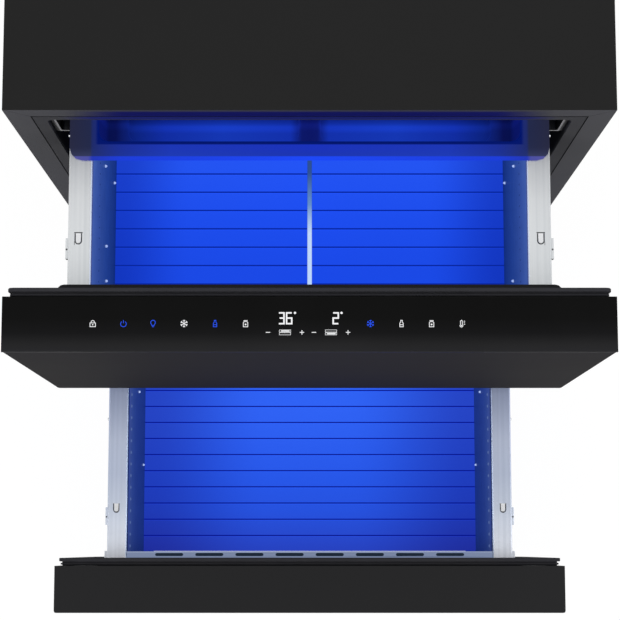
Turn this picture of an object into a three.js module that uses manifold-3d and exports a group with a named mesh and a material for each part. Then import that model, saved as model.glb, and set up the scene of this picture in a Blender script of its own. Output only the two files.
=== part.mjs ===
// Undercounter refrigerator with two full-extension drawers, both standing open.
// Millimetres, +Z up, the front faces -Y. Everything is laid out from the cabinet's front plane (Y = 0), its
// middle plane (X = 0) and the floor (Z = 0). The last lines move the origin to the middle of the base.
import * as THREE from 'three';
import { mergeVertices } from 'three/addons/utils/BufferGeometryUtils.js';
import Module from 'manifold-3d';

const wasm = await Module();
wasm.setup();

// ---------------------------------------------------------------- driving dimensions
const fit = 0.3; // gap between two pieces that seat on each other

// cabinet shell
const cabinetWidth = 596;
const cabinetHeight = 870;
const cabinetDepth = 560;
const sheet = 1; // wrapper and back panel
const flangeWidth = 24; // folded front edge of the side panels
const flangeHeight = 25.3; // folded front edge of the top panel
const seam = 0.6; // between the folded edges and the front frame
const toeHeight = 84; // floor to the lower door
const toeRecess = 55;
const baseHeight = 30; // floor to the base pan
const backJoggle = 20; // how far the machine cover lies inside the back panel

// openings and liners
const sideWall = 37.5; // cabinet side to the openings
const openingDrop = 40; // cabinet top to the upper opening
const openingRadius = 8;
const mullionHeight = 44; // frame bar between the openings
const sillHeight = 46; // frame bar under the lower opening
const frameThickness = 3;
const linerWall = 1.5;
const backWallFoam = 54.7; // cabinet back to the liners
const machineDepth = 215; // cabinet back to the step in the lower cavity's floor
const hatchHeight = 105; // height of that step
const stepFoam = 27; // foam under and in front of the step
const sillFoam = 32; // foam under the lower cavity

// doors
const doorMargin = 3; // cabinet side to the doors
const doorDrop = 8; // cabinet top to the upper door
const doorGap = 4;
const doorThickness = 53.7;
const doorSkin = 1;
const doorLinerPlate = 3;
const panelThickness = 3; // touch panel on the upper door
const gasketDepth = 9.1;
const gasketWidth = 13;
const gasketInset = 4; // from the door's edge
const closedGap = 0.5; // gasket to frame with the drawer shut
const plateauMargin = 10.5; // opening side to the raised part of a door's liner
const plateauEdge = 24; // door's bottom edge to the raised part of its liner
const ridgeDepth = 7.8; // how far the upper liner's ridge enters the opening
const ridgeHeight = 21;

// drawers
const drawerDrop = 70; // door top to the drawer's rim
const drawerHeight = 220; // rim to floor
const slideRoom = 18; // opening side to the drawer
const drawerShort = 5; // how much shorter a drawer is than its rails
const sideThickness = 23.5;
const steel = 1.5; // drawer sheet
const rimLip = 12; // folded outer edge of a side
const shelfWidth = 13; // folded bottom edge that carries the floor
const tabInset = 13.2; // inner face of a side to its pressed tab
const tabSetback = 59; // drawer front to that tab
const tabLeg = 6;
const tabHalf = 3.6;
const tabCut = 0.9;
const clipSetback = 39; // drawer front to the clip on a side's outer edge
const clipLength = 21;
const clipReach = 2.5;
const hookLength = 8;
const hookReach = 3;
const innerFlange = 6; // cap's folded inner edge
const frontFlange = 24;
const floorThickness = 7;
const floorGroove = 21; // pitch of the floor's grooves
const grooveWidth = 2.2;
const grooveDepth = 1.4;
const frontWallDepth = 7.4; // slotted strip along the drawer's front
const slotLength = 34;
const slotWidth = 3.6;
const slotMargin = 27; // inner face of a side to the first slot's field
const slotCount = 8;
const dividerWidth = 5;
const dividerHeight = 158;
const dividerSheet = 1;
const notchGap = 15.5; // cabinet's step to the lower drawer's notch
const notchHeight = 72;

// open distances from shut, as the drawers stand
const upperOpen = 171.4;
const lowerOpen = 430.9;

// tray on the upper drawer
const traySetback = 138.9; // drawer front to tray front
const trayBackGap = 36.1; // tray to the drawer's back
const trayRim = 3;
const trayWall = 2.5;
const trayFrontRim = 17;
const trayBasin = 54;
const trayRib = 21;
const trayLedge = 28;
const trayWell = 14;
const trayDraft = 4;
const trayCorner = 13;

// slides
const slideHeight = 45;
const slideThickness = 12.7;
const slideSheet = 1.2;
const slideRun = 0.35; // running clearance between the members
const slideDrop = 5.5; // under the drawer's cap
const railStart = 6;
const railGap = 4; // rails' ends to the duct covers
const memberShort = 10; // how much shorter the moving members are than the rails
const memberStart = 2;
const bracketLength = 30;
const bracketPost = 5.3;
const bracketRise = 46;
const bracketSheet = 2.5;
const beadLip = 3.4;

// light bars
const barSetback = 10;
const barDepth = 16;
const barDrop = 4.5;
const barFoot = 2;
const barMargin = 12; // drawer side to the bar's end

// cold air
const ductRoom = 65.3; // duct cover to the liner's back
const ductPlate = 2.5;
const coverSlot = 52; // upper air slots of a duct cover
const coverSlotWidth = 7;
const coverSlotPitch = 62;
const coverSlotDrop = 26;
const coverSlotMargin = 108.5; // opening side to the middle of a pair of slots
const returnSlots = 5; // lower air slots
const returnSlotWidth = 8;
const returnSlotRise = 20;
const returnMargin = 30.5;
const guardBar = 2.4;
const guardSpokes = 4;
const fanRadius = 44;
const fanHub = 14;
const fanDepth = 16;
const fanBlades = 7;
const fanGap = 4; // duct cover to fan
const fanDrop = 16; // opening's top to the fan
const guardGap = 3; // fan to the guard's opening
const shaftRadius = 2.5;
const motorRadius = 17;
const motorLength = 21;
const motorGap = 12; // fan to motor
const strutReach = 8;
const strutWidth = 6;
const strutThickness = 4;
const evaporatorDepth = 42;
const evaporatorMargin = 65.5; // opening side to the coil
const evaporatorRise = 12;
const evaporatorDrop = 14;
const finSheet = 1.6;
const finSpine = 3;

// machine compartment
const compressorRadius = 68;
const compressorHeight = 137;
const compressorMargin = 148; // cabinet side to the compressor's axis
const compressorRise = 18;
const compressorSeam = 3;
const compressorPlate = 3;
const mountReach = 62;
const mountDepth = 48;
const mountEdge = 12;
const grommetRadius = 11;
const terminalReach = 8;
const terminalWidth = 40;
const terminalHeight = 26;
const coilMargin = 13; // cabinet side to the condenser
const coilRun = 120;
const coilGap = 8; // condenser to the compartment's front and back
const coilDrop = 6;
const shroudGap = 28; // condenser to its fan shroud
const shroudPlate = 3;
const stayWidth = 8;
const stayInset = 4;
const machineFanRadius = 58;
const machineFanHub = 18;
const machineFanDepth = 24;
const machineFanGap = 5;
const machineFanBlades = 5;
const machineShaft = 3;
const machineMotorGap = 62; // condenser to the fan's motor
const machineMotorRadius = 23;
const machineMotorLength = 24;
const armReach = 10;
const armWidth = 6;
const armThickness = 5;
const panWall = 16; // folded edge of the base pan
const panSheet = 1.5;
const panSetback = 3; // toe recess to the pan
const grilleRows = 3;
const grilleColumns = 5;
const grilleMargin = 36.7;
const grilleRib = 10;
const grilleSlotWidth = 6.5;
const grillePitch = 12.5;
const grillePlate = 2.5;
const ventRows = 5;
const ventLength = 66;
const ventWidth = 5;
const ventPitch = 18;
const ventRib = 14;
const ventMargin = 158; // cabinet side to the middle of the vents
const glandRadius = 8;
const glandMargin = 36; // cabinet side to the cable gland
const glandRise = 56;
const footRadius = 19;
const footStem = 5;
const footMargin = 48; // cabinet side to a foot's axis
const frontFootSetback = 37; // toe recess to the front feet
const rearFootSetback = 55; // cabinet back to the rear feet

// ---------------------------------------------------------------- places worked out from them
const halfCabinet = cabinetWidth / 2;
const halfOpening = halfCabinet - sideWall;
const halfDoor = halfCabinet - doorMargin;
const halfDrawer = halfOpening - slideRoom;
const innerDrawer = halfDrawer - sideThickness; // inner face of a drawer side
const upperTop = cabinetHeight - doorDrop;
const doorHeight = (upperTop - toeHeight - doorGap) / 2;
const lowerTop = upperTop - doorHeight - doorGap;
const mullionMiddle = lowerTop + doorGap / 2;
const upperZone = {
  doorTop: upperTop,
  ceiling: cabinetHeight - openingDrop,
  bottom: mullionMiddle + mullionHeight / 2,
};
const lowerZone = {
  doorTop: lowerTop,
  ceiling: mullionMiddle - mullionHeight / 2,
  bottom: toeHeight + sillHeight,
};
const gasketFront = -closedGap - gasketDepth; // rear face of the door with the drawer shut
const doorFront = gasketFront - doorThickness;
const stepTop = lowerZone.bottom + hatchHeight;
const foamBottom = lowerZone.bottom - sillFoam - linerWall;
const machineTop = stepTop - stepFoam - linerWall;
const hatchDepth = cabinetDepth - machineDepth;
const machineFront = hatchDepth + stepFoam + linerWall;
const machineBack = cabinetDepth - backJoggle - sheet;
const machineMiddle = (machineFront + machineBack) / 2;
const fanLevel = (baseHeight + machineTop) / 2;
const linerBack = cabinetDepth - backWallFoam;
const ductStart = linerBack - ductRoom;
const railLength = ductStart - railGap - railStart;
const memberLength = railLength - memberShort;
const drawerLength = railLength - drawerShort;
const drawerFront = -closedGap;
const drawerBack = drawerFront + drawerLength;
const wallBack = drawerFront + frontWallDepth; // inner face of the front wall
const trayDepth = drawerLength - traySetback - trayBackGap;
const notchLength = drawerBack - hatchDepth + notchGap; // rear part of the lower drawer, over that step
const footPlaces = [toeRecess + frontFootSetback, cabinetDepth - rearFootSetback].flatMap((y) =>
  [-1, 1].map((hand) => [hand * (halfCabinet - footMargin), y]));
const glandX = halfCabinet - glandMargin;
const glandZ = baseHeight + glandRise;

// ---------------------------------------------------------------- shape helpers
const finish = (color, roughness, metalness) =>
  new THREE.MeshStandardMaterial({ color, roughness, metalness });

const axisX = new THREE.Vector3(1, 0, 0);
const axisY = new THREE.Vector3(0, 1, 0);
const axisZ = new THREE.Vector3(0, 0, 1);
const turns = {
  x: new THREE.Matrix4().makeBasis(axisY, axisZ, axisX), // outline drawn in Y, Z
  y: new THREE.Matrix4().makeBasis(axisX, axisZ, axisY.clone().negate()), // outline drawn in X, Z
  z: new THREE.Matrix4(), // outline drawn in X, Y
};

function partWay(from, to, distance) {
  const share = distance / Math.hypot(to[0] - from[0], to[1] - from[1]);
  return [from[0] + (to[0] - from[0]) * share, from[1] + (to[1] - from[1]) * share];
}

// A closed outline through corners [u, v, own radius], each rounded by its own or the common radius.
function outline(corners, radius = 0, Kind = THREE.Shape) {
  const path = new Kind();
  corners.forEach(([u, v, own = radius], i) => {
    const start = partWay([u, v], corners.at(i - 1), own);
    const end = partWay([u, v], corners[(i + 1) % corners.length], own);
    if (i === 0) path.moveTo(...start);
    else path.lineTo(...start);
    if (own > 0) path.quadraticCurveTo(u, v, ...end);
  });
  path.closePath();
  return path;
}

const rectangle = (u0, u1, v0, v1, radius = 0, Kind = THREE.Shape) =>
  outline([[u0, v0], [u1, v0], [u1, v1], [u0, v1]], radius, Kind);

function extrude(shape, axis, from, to, curveSegments = 2) {
  const options = { depth: to - from, bevelEnabled: false, curveSegments };
  const geometry = new THREE.ExtrudeGeometry(shape, options).applyMatrix4(turns[axis]);
  if (axis === 'x') geometry.translate(from, 0, 0);
  if (axis === 'y') geometry.translate(0, to, 0); // the depth runs towards -Y
  if (axis === 'z') geometry.translate(0, 0, from);
  return geometry;
}

const block = (x0, x1, y0, y1, z0, z1) =>
  new THREE.BoxGeometry(x1 - x0, y1 - y0, z1 - z0)
    .translate((x0 + x1) / 2, (y0 + y1) / 2, (z0 + z1) / 2);

// A turned piece about X, Y or Z from [radius, height] points.
function revolve(points, axis, segments = 24) {
  const profile = points.map(([r, h]) => new THREE.Vector2(r, h));
  const geometry = new THREE.LatheGeometry(profile, segments);
  if (axis === 'x') geometry.rotateZ(-Math.PI / 2);
  if (axis === 'z') geometry.rotateX(Math.PI / 2);
  return geometry;
}

function skin(points, faces) {
  const geometry = new THREE.BufferGeometry();
  geometry.setAttribute('position', new THREE.Float32BufferAttribute(points.flat(), 3));
  let volume = 0;
  const corner = [new THREE.Vector3(), new THREE.Vector3(), new THREE.Vector3()];
  for (const face of faces) {
    face.forEach((index, i) => corner[i].fromArray(points[index]));
    volume += corner[0].dot(corner[1].cross(corner[2]));
  }
  const outward = volume > 0 ? faces : faces.map(([a, b, c]) => [a, c, b]);
  geometry.setIndex(outward.flat());
  return geometry;
}

// Faces between two loops. From the mirrored corner on, the quads are split along their other diagonal.
function bridge(faces, first, second, count, mirrored = Infinity) {
  for (let i = 0; i < count; i += 1) {
    const next = (i + 1) % count;
    if (i < mirrored) {
      faces.push([first + i, first + next, second + next], [first + i, second + next, second + i]);
    } else {
      faces.push([first + i, first + next, second + i], [first + next, second + next, second + i]);
    }
  }
}

// A skin through loops of equal, even length. Each end is closed by a strip between the loop's two halves.
function loft(loops, mirrored) {
  const count = loops[0].length;
  const faces = [];
  for (let k = 0; k + 1 < loops.length; k += 1) bridge(faces, k * count, (k + 1) * count, count, mirrored);
  for (const k of [0, loops.length - 1]) {
    for (let i = 0; i + 1 < count / 2; i += 1) {
      const [a, b, c, d] = [i, i + 1, count - 2 - i, count - 1 - i].map((index) => k * count + index);
      if (k === 0) faces.push([a, c, b], [a, d, c]);
      else faces.push([a, b, c], [a, c, d]);
    }
  }
  return skin(loops.flat(), faces);
}

// Points of a rounded rectangle, as [u, v] pairs.
function roundLoop(u0, u1, v0, v1, radius, steps) {
  const corners = [[u1, v1, 0], [u0, v1, 1], [u0, v0, 2], [u1, v0, 3]];
  const loop = [];
  for (const [u, v, quarter] of corners) {
    const centreU = u + (u > (u0 + u1) / 2 ? -radius : radius);
    const centreV = v + (v > (v0 + v1) / 2 ? -radius : radius);
    for (let i = 0; i <= steps; i += 1) {
      const angle = (quarter + i / steps) * Math.PI / 2;
      loop.push([centreU + radius * Math.cos(angle), centreV + radius * Math.sin(angle)]);
    }
  }
  return loop;
}

// A closed section of [inset, y] points carried round a rounded rectangle in the X, Z plane.
function ringSweep(section, u0, u1, v0, v1, radius, steps) {
  const loops = section.map(([inset, y]) =>
    roundLoop(u0 + inset, u1 - inset, v0 + inset, v1 - inset, Math.max(radius - inset, 1), steps)
      .map(([u, v]) => [u, y, v]));
  const count = loops[0].length;
  const faces = [];
  loops.forEach((_, k) => bridge(faces, k * count, ((k + 1) % loops.length) * count, count));
  return skin(loops.flat(), faces);
}

function solidOf(geometry) {
  const bare = geometry.clone();
  bare.deleteAttribute('normal');
  bare.deleteAttribute('uv');
  const welded = mergeVertices(bare, 1e-4);
  const index = welded.index.array;
  const triangles = [];
  for (let i = 0; i < index.length; i += 3) {
    const [a, b, c] = [index[i], index[i + 1], index[i + 2]];
    if (a !== b && b !== c && c !== a) triangles.push(a, b, c);
  }
  return new wasm.Manifold(new wasm.Mesh({
    numProp: 3,
    vertProperties: new Float32Array(welded.attributes.position.array),
    triVerts: new Uint32Array(triangles),
  }));
}

function geometryOf(solid) {
  const { vertProperties, triVerts } = solid.getMesh();
  const geometry = new THREE.BufferGeometry();
  geometry.setAttribute('position', new THREE.BufferAttribute(vertProperties, 3));
  geometry.setIndex(new THREE.BufferAttribute(triVerts, 1));
  return geometry;
}

const join = (...pieces) => geometryOf(pieces.map(solidOf).reduce((whole, piece) => whole.add(piece)));
const cut = (body, ...tools) =>
  geometryOf(tools.map(solidOf).reduce((whole, tool) => whole.subtract(tool), solidOf(body)));

function put(parent, name, geometry, material) {
  const mesh = new THREE.Mesh(geometry, material);
  mesh.name = name;
  parent.add(mesh);
  return mesh;
}

const spread = (count, pitch) => Array.from({ length: count }, (_, i) => (i - (count - 1) / 2) * pitch);

// A stadium outline, long way along u.
function slot(u, v, length, width, Kind = THREE.Path) {
  const half = (length - width) / 2;
  const steps = 3;
  const corners = [];
  for (const turn of [0, 1]) {
    for (let i = 0; i <= steps; i += 1) {
      const angle = (turn - 0.5 + i / steps) * Math.PI;
      const along = half * (1 - 2 * turn) + width / 2 * Math.cos(angle);
      corners.push([u + along, v + width / 2 * Math.sin(angle)]);
    }
  }
  return outline(corners, 0, Kind);
}

// ---------------------------------------------------------------- finishes
const blackSteel = finish(0x2a2a2c, 0.42, 0.6);
const blackPlastic = finish(0x141416, 0.6, 0);
const gloss = finish(0x1b1b1d, 0.2, 0.1);
const rubber = finish(0x1f1f20, 0.85, 0);
const foam = finish(0xe4d9a8, 0.95, 0);
const brushed = finish(0xd2d4d6, 0.35, 0.7);
const coolWhite = finish(0xd5dcf0, 0.5, 0);
const zinc = finish(0xb9bcc0, 0.35, 0.9);
const fins = finish(0xc9ccd0, 0.4, 0.85);
const smoked = finish(0x1c2438, 0.15, 0);
const lamp = finish(0x9fc0ff, 0.3, 0);
const darkShell = finish(0x1c1c1e, 0.5, 0.5);

// ---------------------------------------------------------------- cabinet
const sideEnd = cabinetDepth - sheet - fit;
const panelTop = cabinetHeight - sheet - fit;

function sidePanel(hand) {
  const inside = hand * (halfCabinet - sheet);
  const outside = hand * halfCabinet;
  const profile = outline([
    [0, toeHeight], [toeRecess, toeHeight, 4], [toeRecess, baseHeight], [sideEnd, baseHeight],
    [sideEnd, panelTop], [0, panelTop],
  ]);
  const plate = extrude(profile, 'x', Math.min(inside, outside), Math.max(inside, outside));
  const inner = hand * (halfCabinet - flangeWidth);
  const mitre = cabinetHeight - flangeHeight - fit * 1.6;
  const flange = outline([
    [inner, toeHeight], [outside, toeHeight], [outside, panelTop],
    [outside - hand * fit * 2.7, panelTop], [inner, mitre],
  ]);
  return join(plate, extrude(flange, 'y', 0, sheet));
}

function topPanel() {
  const inner = halfCabinet - flangeWidth;
  const low = cabinetHeight - flangeHeight;
  const flange = outline([
    [-halfCabinet, cabinetHeight], [-inner, low], [inner, low], [halfCabinet, cabinetHeight],
  ]);
  const plate = block(-halfCabinet, halfCabinet, 0, sideEnd, cabinetHeight - sheet, cabinetHeight);
  return join(plate, extrude(flange, 'y', 0, sheet));
}

// The back panel steps in over the machine compartment, where it has rows of vents.
function backPanel() {
  const rear = cabinetDepth;
  const low = machineBack + sheet;
  const step = machineTop + stepFoam;
  const profile = outline([
    [rear - sheet, panelTop], [rear - sheet, step + sheet], [low - sheet, step + sheet],
    [low - sheet, baseHeight + panWall + fit], [low, baseHeight + panWall + fit], [low, step],
    [rear, step],
    [rear, panelTop],
  ]);
  const panel = extrude(profile, 'x', -halfCabinet + sheet + fit, halfCabinet - sheet - fit);
  const ventMiddle = ventMargin - halfCabinet;
  const vents = spread(ventRows, ventPitch).flatMap((rise) => spread(3, ventLength + ventRib).map((across) =>
    extrude(slot(across + ventMiddle, fanLevel + rise, ventLength, ventWidth, THREE.Shape),
      'y', low - sheet * 2, low + sheet)));
  const glandHole = new THREE.CylinderGeometry(glandRadius + fit, glandRadius + fit, sheet * 4, 12)
    .translate(glandX, low, glandZ);
  return cut(panel, ...vents, glandHole);
}

function basePan() {
  const half = halfCabinet - sheet - fit;
  const front = toeRecess + panSetback;
  const outer = block(-half, half, front, machineBack - fit, baseHeight, baseHeight + panWall);
  const hollow = block(-half + panSheet, half - panSheet, front + panSheet, machineBack - fit - panSheet,
    baseHeight + panSheet, baseHeight + panWall + panSheet);
  const bore = footStem + fit;
  const holes = footPlaces.map(([x, y]) =>
    new THREE.CylinderGeometry(bore, bore, panSheet * 4, 14).rotateX(Math.PI / 2).translate(x, y, baseHeight));
  return cut(outer, hollow, ...holes);
}

// Screwed foot: the collar carries the pan and the stem ends inside its plate.
function levellingFoot() {
  const collar = baseHeight - fit;
  const stemTop = baseHeight + panSheet - fit;
  return revolve([
    [0, 0], [footRadius, 0], [footRadius, collar * 0.13], [footRadius * 0.5, collar * 0.29],
    [footRadius * 0.4, collar * 0.47],
    [footRadius * 0.4, collar], [footStem, collar], [footStem, stemTop], [0, stemTop],
  ], 'z', 10);
}

function toeGrille() {
  const half = halfCabinet - sheet - fit;
  const plate = rectangle(-half, half, baseHeight + 1, toeHeight - fit, 2);
  const middle = (baseHeight + toeHeight) / 2;
  const pitch = 2 * (half - grilleMargin) / grilleColumns;
  for (const rise of spread(grilleRows, grillePitch)) {
    for (const across of spread(grilleColumns, pitch)) {
      plate.holes.push(slot(across, middle + rise, pitch - grilleRib, grilleSlotWidth));
    }
  }
  return extrude(plate, 'y', toeRecess, toeRecess + grillePlate);
}

// One flat frame round both openings, with a return under the sill.
function frontFrame() {
  const half = halfCabinet - flangeWidth - seam;
  const top = cabinetHeight - flangeHeight - seam;
  const frame = rectangle(-half, half, toeHeight, top);
  for (const zone of [upperZone, lowerZone]) {
    frame.holes.push(rectangle(-halfOpening, halfOpening, zone.bottom, zone.ceiling,
      openingRadius, THREE.Path));
  }
  const sill = block(-half, half, 0, toeRecess - fit, toeHeight, toeHeight + 2);
  return join(extrude(frame, 'y', 0, frameThickness), sill);
}

// Foam filled between wrapper and liners, cut away over the machine compartment.
function insulation() {
  const half = halfCabinet - sheet - fit;
  const front = frameThickness + fit;
  const rear = cabinetDepth - sheet - fit;
  const body = extrude(outline([
    [front, foamBottom], [machineFront, foamBottom], [machineFront, machineTop],
    [machineBack - fit, machineTop], [machineBack - fit, machineTop + stepFoam + sheet + fit],
    [rear, machineTop + stepFoam + sheet + fit], [rear, panelTop], [front, panelTop],
  ]), 'x', -half, half);
  const pocket = linerWall + fit;
  return cut(body, cavity(upperZone, pocket, 0), cavity(lowerZone, pocket, 0), hatch(pocket, 0));
}

// The hollow of a zone, grown by a margin. Its front is open, so it starts ahead of the liner.
function cavity(zone, margin, start) {
  const bottom = zone === lowerZone ? stepTop : zone.bottom;
  const shape = rectangle(-halfOpening - margin, halfOpening + margin, bottom - margin,
    zone.ceiling + margin, openingRadius + margin);
  return extrude(shape, 'y', start, linerBack + margin);
}

function hatch(margin, start) {
  const shape = rectangle(-halfOpening - margin, halfOpening + margin, lowerZone.bottom - margin,
    lowerZone.ceiling + margin, openingRadius + margin);
  return extrude(shape, 'y', start, hatchDepth + margin);
}

function liner(zone) {
  const start = frameThickness + fit;
  if (zone === upperZone) return cut(cavity(zone, linerWall, start), cavity(zone, 0, 0));
  const outer = join(cavity(zone, linerWall, start), hatch(linerWall, start));
  return cut(outer, cavity(zone, 0, 0), hatch(0, 0));
}

function lightBar(zone) {
  const top = zone.ceiling - fit;
  const lens = new THREE.Shape();
  const half = barDepth / 2;
  lens.moveTo(barSetback, top);
  lens.lineTo(barSetback, top - barFoot);
  lens.absellipse(barSetback + half, top - barFoot, half, barDrop, Math.PI, 2 * Math.PI, false, 0);
  lens.lineTo(barSetback + barDepth, top);
  lens.closePath();
  return extrude(lens, 'x', -halfDrawer + barMargin, halfDrawer - barMargin, 4);
}

// ---------------------------------------------------------------- cold air
const fanPlace = (zone) => {
  const bottom = zone === lowerZone ? stepTop : zone.bottom;
  return { z: zone.ceiling - fanRadius - fanDrop, bottom };
};

// Finger guard: rings and spokes are what is left between the sector holes.
function guardHoles(u, v, radius) {
  const holes = [];
  const bar = guardBar;
  const rings = [fanHub, (fanHub + radius) / 2, radius];
  const spokes = guardSpokes;
  for (let ring = 0; ring + 1 < rings.length; ring += 1) {
    const inner = rings[ring] + bar / 2;
    const outer = rings[ring + 1] - bar / 2;
    for (let i = 0; i < spokes; i += 1) {
      const from = i * 2 * Math.PI / spokes;
      const to = (i + 1) * 2 * Math.PI / spokes;
      const hole = new THREE.Path();
      hole.absarc(u, v, outer, from + bar / 2 / outer, to - bar / 2 / outer, false);
      hole.absarc(u, v, inner, to - bar / 2 / inner, from + bar / 2 / inner, true);
      hole.closePath();
      holes.push(hole);
    }
  }
  return holes;
}

function ductCover(zone) {
  const place = fanPlace(zone);
  const plate = rectangle(-halfOpening + fit, halfOpening - fit, place.bottom + fit,
    zone.ceiling - fit, openingRadius);
  plate.holes.push(...guardHoles(0, place.z, fanRadius + guardGap));
  for (const across of spread(2, coverSlotPitch)) {
    for (const hand of [-1, 1]) {
      plate.holes.push(slot(hand * (halfOpening - coverSlotMargin) + across, zone.ceiling - coverSlotDrop,
        coverSlot, coverSlotWidth));
    }
  }
  const pitch = 2 * (halfOpening - returnMargin) / returnSlots;
  for (const across of spread(returnSlots, pitch)) {
    plate.holes.push(slot(across, place.bottom + returnSlotRise, pitch - 2 * returnSlotWidth, returnSlotWidth));
  }
  const rear = ductStart + ductPlate;
  const r = motorRadius;
  const motor = revolve([
    [0, 0], [r - 2, 0], [r, 2], [r, motorLength - 3], [r - 3, motorLength], [0, motorLength],
  ], 'y', 12).translate(0, rear + fanDepth + motorGap, place.z);
  const struts = [0, 1, 2].flatMap((i) => {
    const reach = fanRadius + strutReach;
    const far = rear + fanDepth + motorGap + 2 * strutThickness;
    const half = strutWidth / 2;
    const arm = block(r / 2, reach, far - strutThickness, far, -half, half);
    const post = block(reach - strutThickness, reach, rear - 1, far, -half, half);
    return [arm, post].map((piece) =>
      piece.rotateY(Math.PI / 2 + i * 2 * Math.PI / 3).translate(0, 0, place.z));
  });
  return join(extrude(plate, 'y', ductStart, rear), motor, ...struts);
}

// Blades are lofted from the hub to the tip, flatter towards the tip. Axis along Y.
function bladeWheel(radius, hub, depth, blades) {
  const hubSides = blades * Math.ceil(14 / blades); // every blade meets the hub in the same way
  const pieces = [revolve([[0, 0], [hub - 2, 0], [hub, 2], [hub, depth], [0, depth]], 'y', hubSides)];
  for (let i = 0; i < blades; i += 1) {
    const loops = [0, 0.5, 1].map((share) => {
      const r = hub - 1.5 + (radius - hub + 1.5) * share;
      const pitch = (52 - 24 * share) * Math.PI / 180;
      const chord = depth * 0.85 / Math.sin(pitch);
      const bow = chord * 0.08;
      return [[-0.5, 0.6], [0, bow + 0.7], [0.5, 0.6], [0.5, -0.6], [0, bow - 0.7], [-0.5, -0.6]]
        .map(([along, off]) => {
          const around = along * chord * Math.cos(pitch) - off * Math.sin(pitch);
          const ahead = along * chord * Math.sin(pitch) + off * Math.cos(pitch);
          const angle = around / r + i * 2 * Math.PI / blades;
          return [r * Math.cos(angle), depth / 2 + ahead, r * Math.sin(angle)];
        });
    });
    pieces.push(loft(loops, 3));
  }
  return join(...pieces);
}

function coldFan(zone) {
  const shaftLength = motorGap - fit;
  const shaft = new THREE.CylinderGeometry(shaftRadius, shaftRadius, shaftLength, 12)
    .translate(0, fanDepth + motorGap - fanGap - fit - shaftLength / 2, 0);
  return join(bladeWheel(fanRadius, fanHub, fanDepth, fanBlades), shaft)
    .translate(0, ductStart + ductPlate + fanGap, fanPlace(zone).z);
}

// A finned coil: fins along one side plate, seen from above as a comb.
function finBlock(x0, x1, y0, y1, z0, z1, count) {
  const pitch = (x1 - x0 - finSheet) / (count - 1);
  const corners = [[x0, y1], [x0, y0]];
  for (let i = 0; i < count; i += 1) {
    const left = x0 + i * pitch;
    if (i > 0) corners.push([left, y1 - finSpine], [left, y0]);
    corners.push([left + finSheet, y0]);
    if (i + 1 < count) corners.push([left + finSheet, y1 - finSpine]);
  }
  corners.push([x1, y1]);
  return extrude(outline(corners), 'z', z0, z1);
}

function evaporator(zone) {
  const place = fanPlace(zone);
  const half = halfOpening - evaporatorMargin;
  return finBlock(-half, half, linerBack - evaporatorDepth, linerBack - fit,
    place.bottom + evaporatorRise, place.z - fanRadius - evaporatorDrop, 16);
}

// ---------------------------------------------------------------- machine compartment
function compressor() {
  const r = compressorRadius;
  const low = baseHeight + compressorRise;
  const h = compressorHeight;
  const seamLow = low + h * 0.48;
  const shell = revolve([
    [0, low], [r * 0.6, low], [r * 0.93, low + h * 0.07], [r, low + h * 0.16], [r, seamLow],
    [r + compressorSeam, seamLow + 1], [r + compressorSeam, seamLow + 1 + compressorSeam],
    [r, seamLow + 2 + compressorSeam], [r, low + h * 0.7], [r * 0.9, low + h * 0.85], [r * 0.6, low + h * 0.95],
    [r * 0.25, low + h * 0.99], [0, low + h],
  ], 'z', 16);
  const plate = extrude(rectangle(-mountReach - mountEdge, mountReach + mountEdge, -mountDepth - mountEdge - 2,
    mountDepth + mountEdge + 2, mountEdge), 'z', low + 0.5 - compressorPlate, low + 0.5);
  const seat = baseHeight + panSheet + fit;
  const grommets = [-mountReach, mountReach].flatMap((x) => [-mountDepth, mountDepth].map((y) =>
    new THREE.CylinderGeometry(grommetRadius - 2, grommetRadius, low - 2 - seat, 12).rotateX(Math.PI / 2)
      .translate(x, y, (low - 2 + seat) / 2)));
  const terminal = block(-r - terminalReach, -r * 0.7, -terminalWidth / 2, terminalWidth / 2,
    low + h * 0.25, low + h * 0.25 + terminalHeight);
  return join(shell, plate, ...grommets, terminal).translate(halfCabinet - compressorMargin, machineMiddle, 0);
}

// Finned condenser, its fan shroud and the motor that the shroud carries. The fan's axis runs along X.
const coilEnd = coilMargin + coilRun - halfCabinet;
const machineMotorStart = coilEnd + machineMotorGap;

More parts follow.
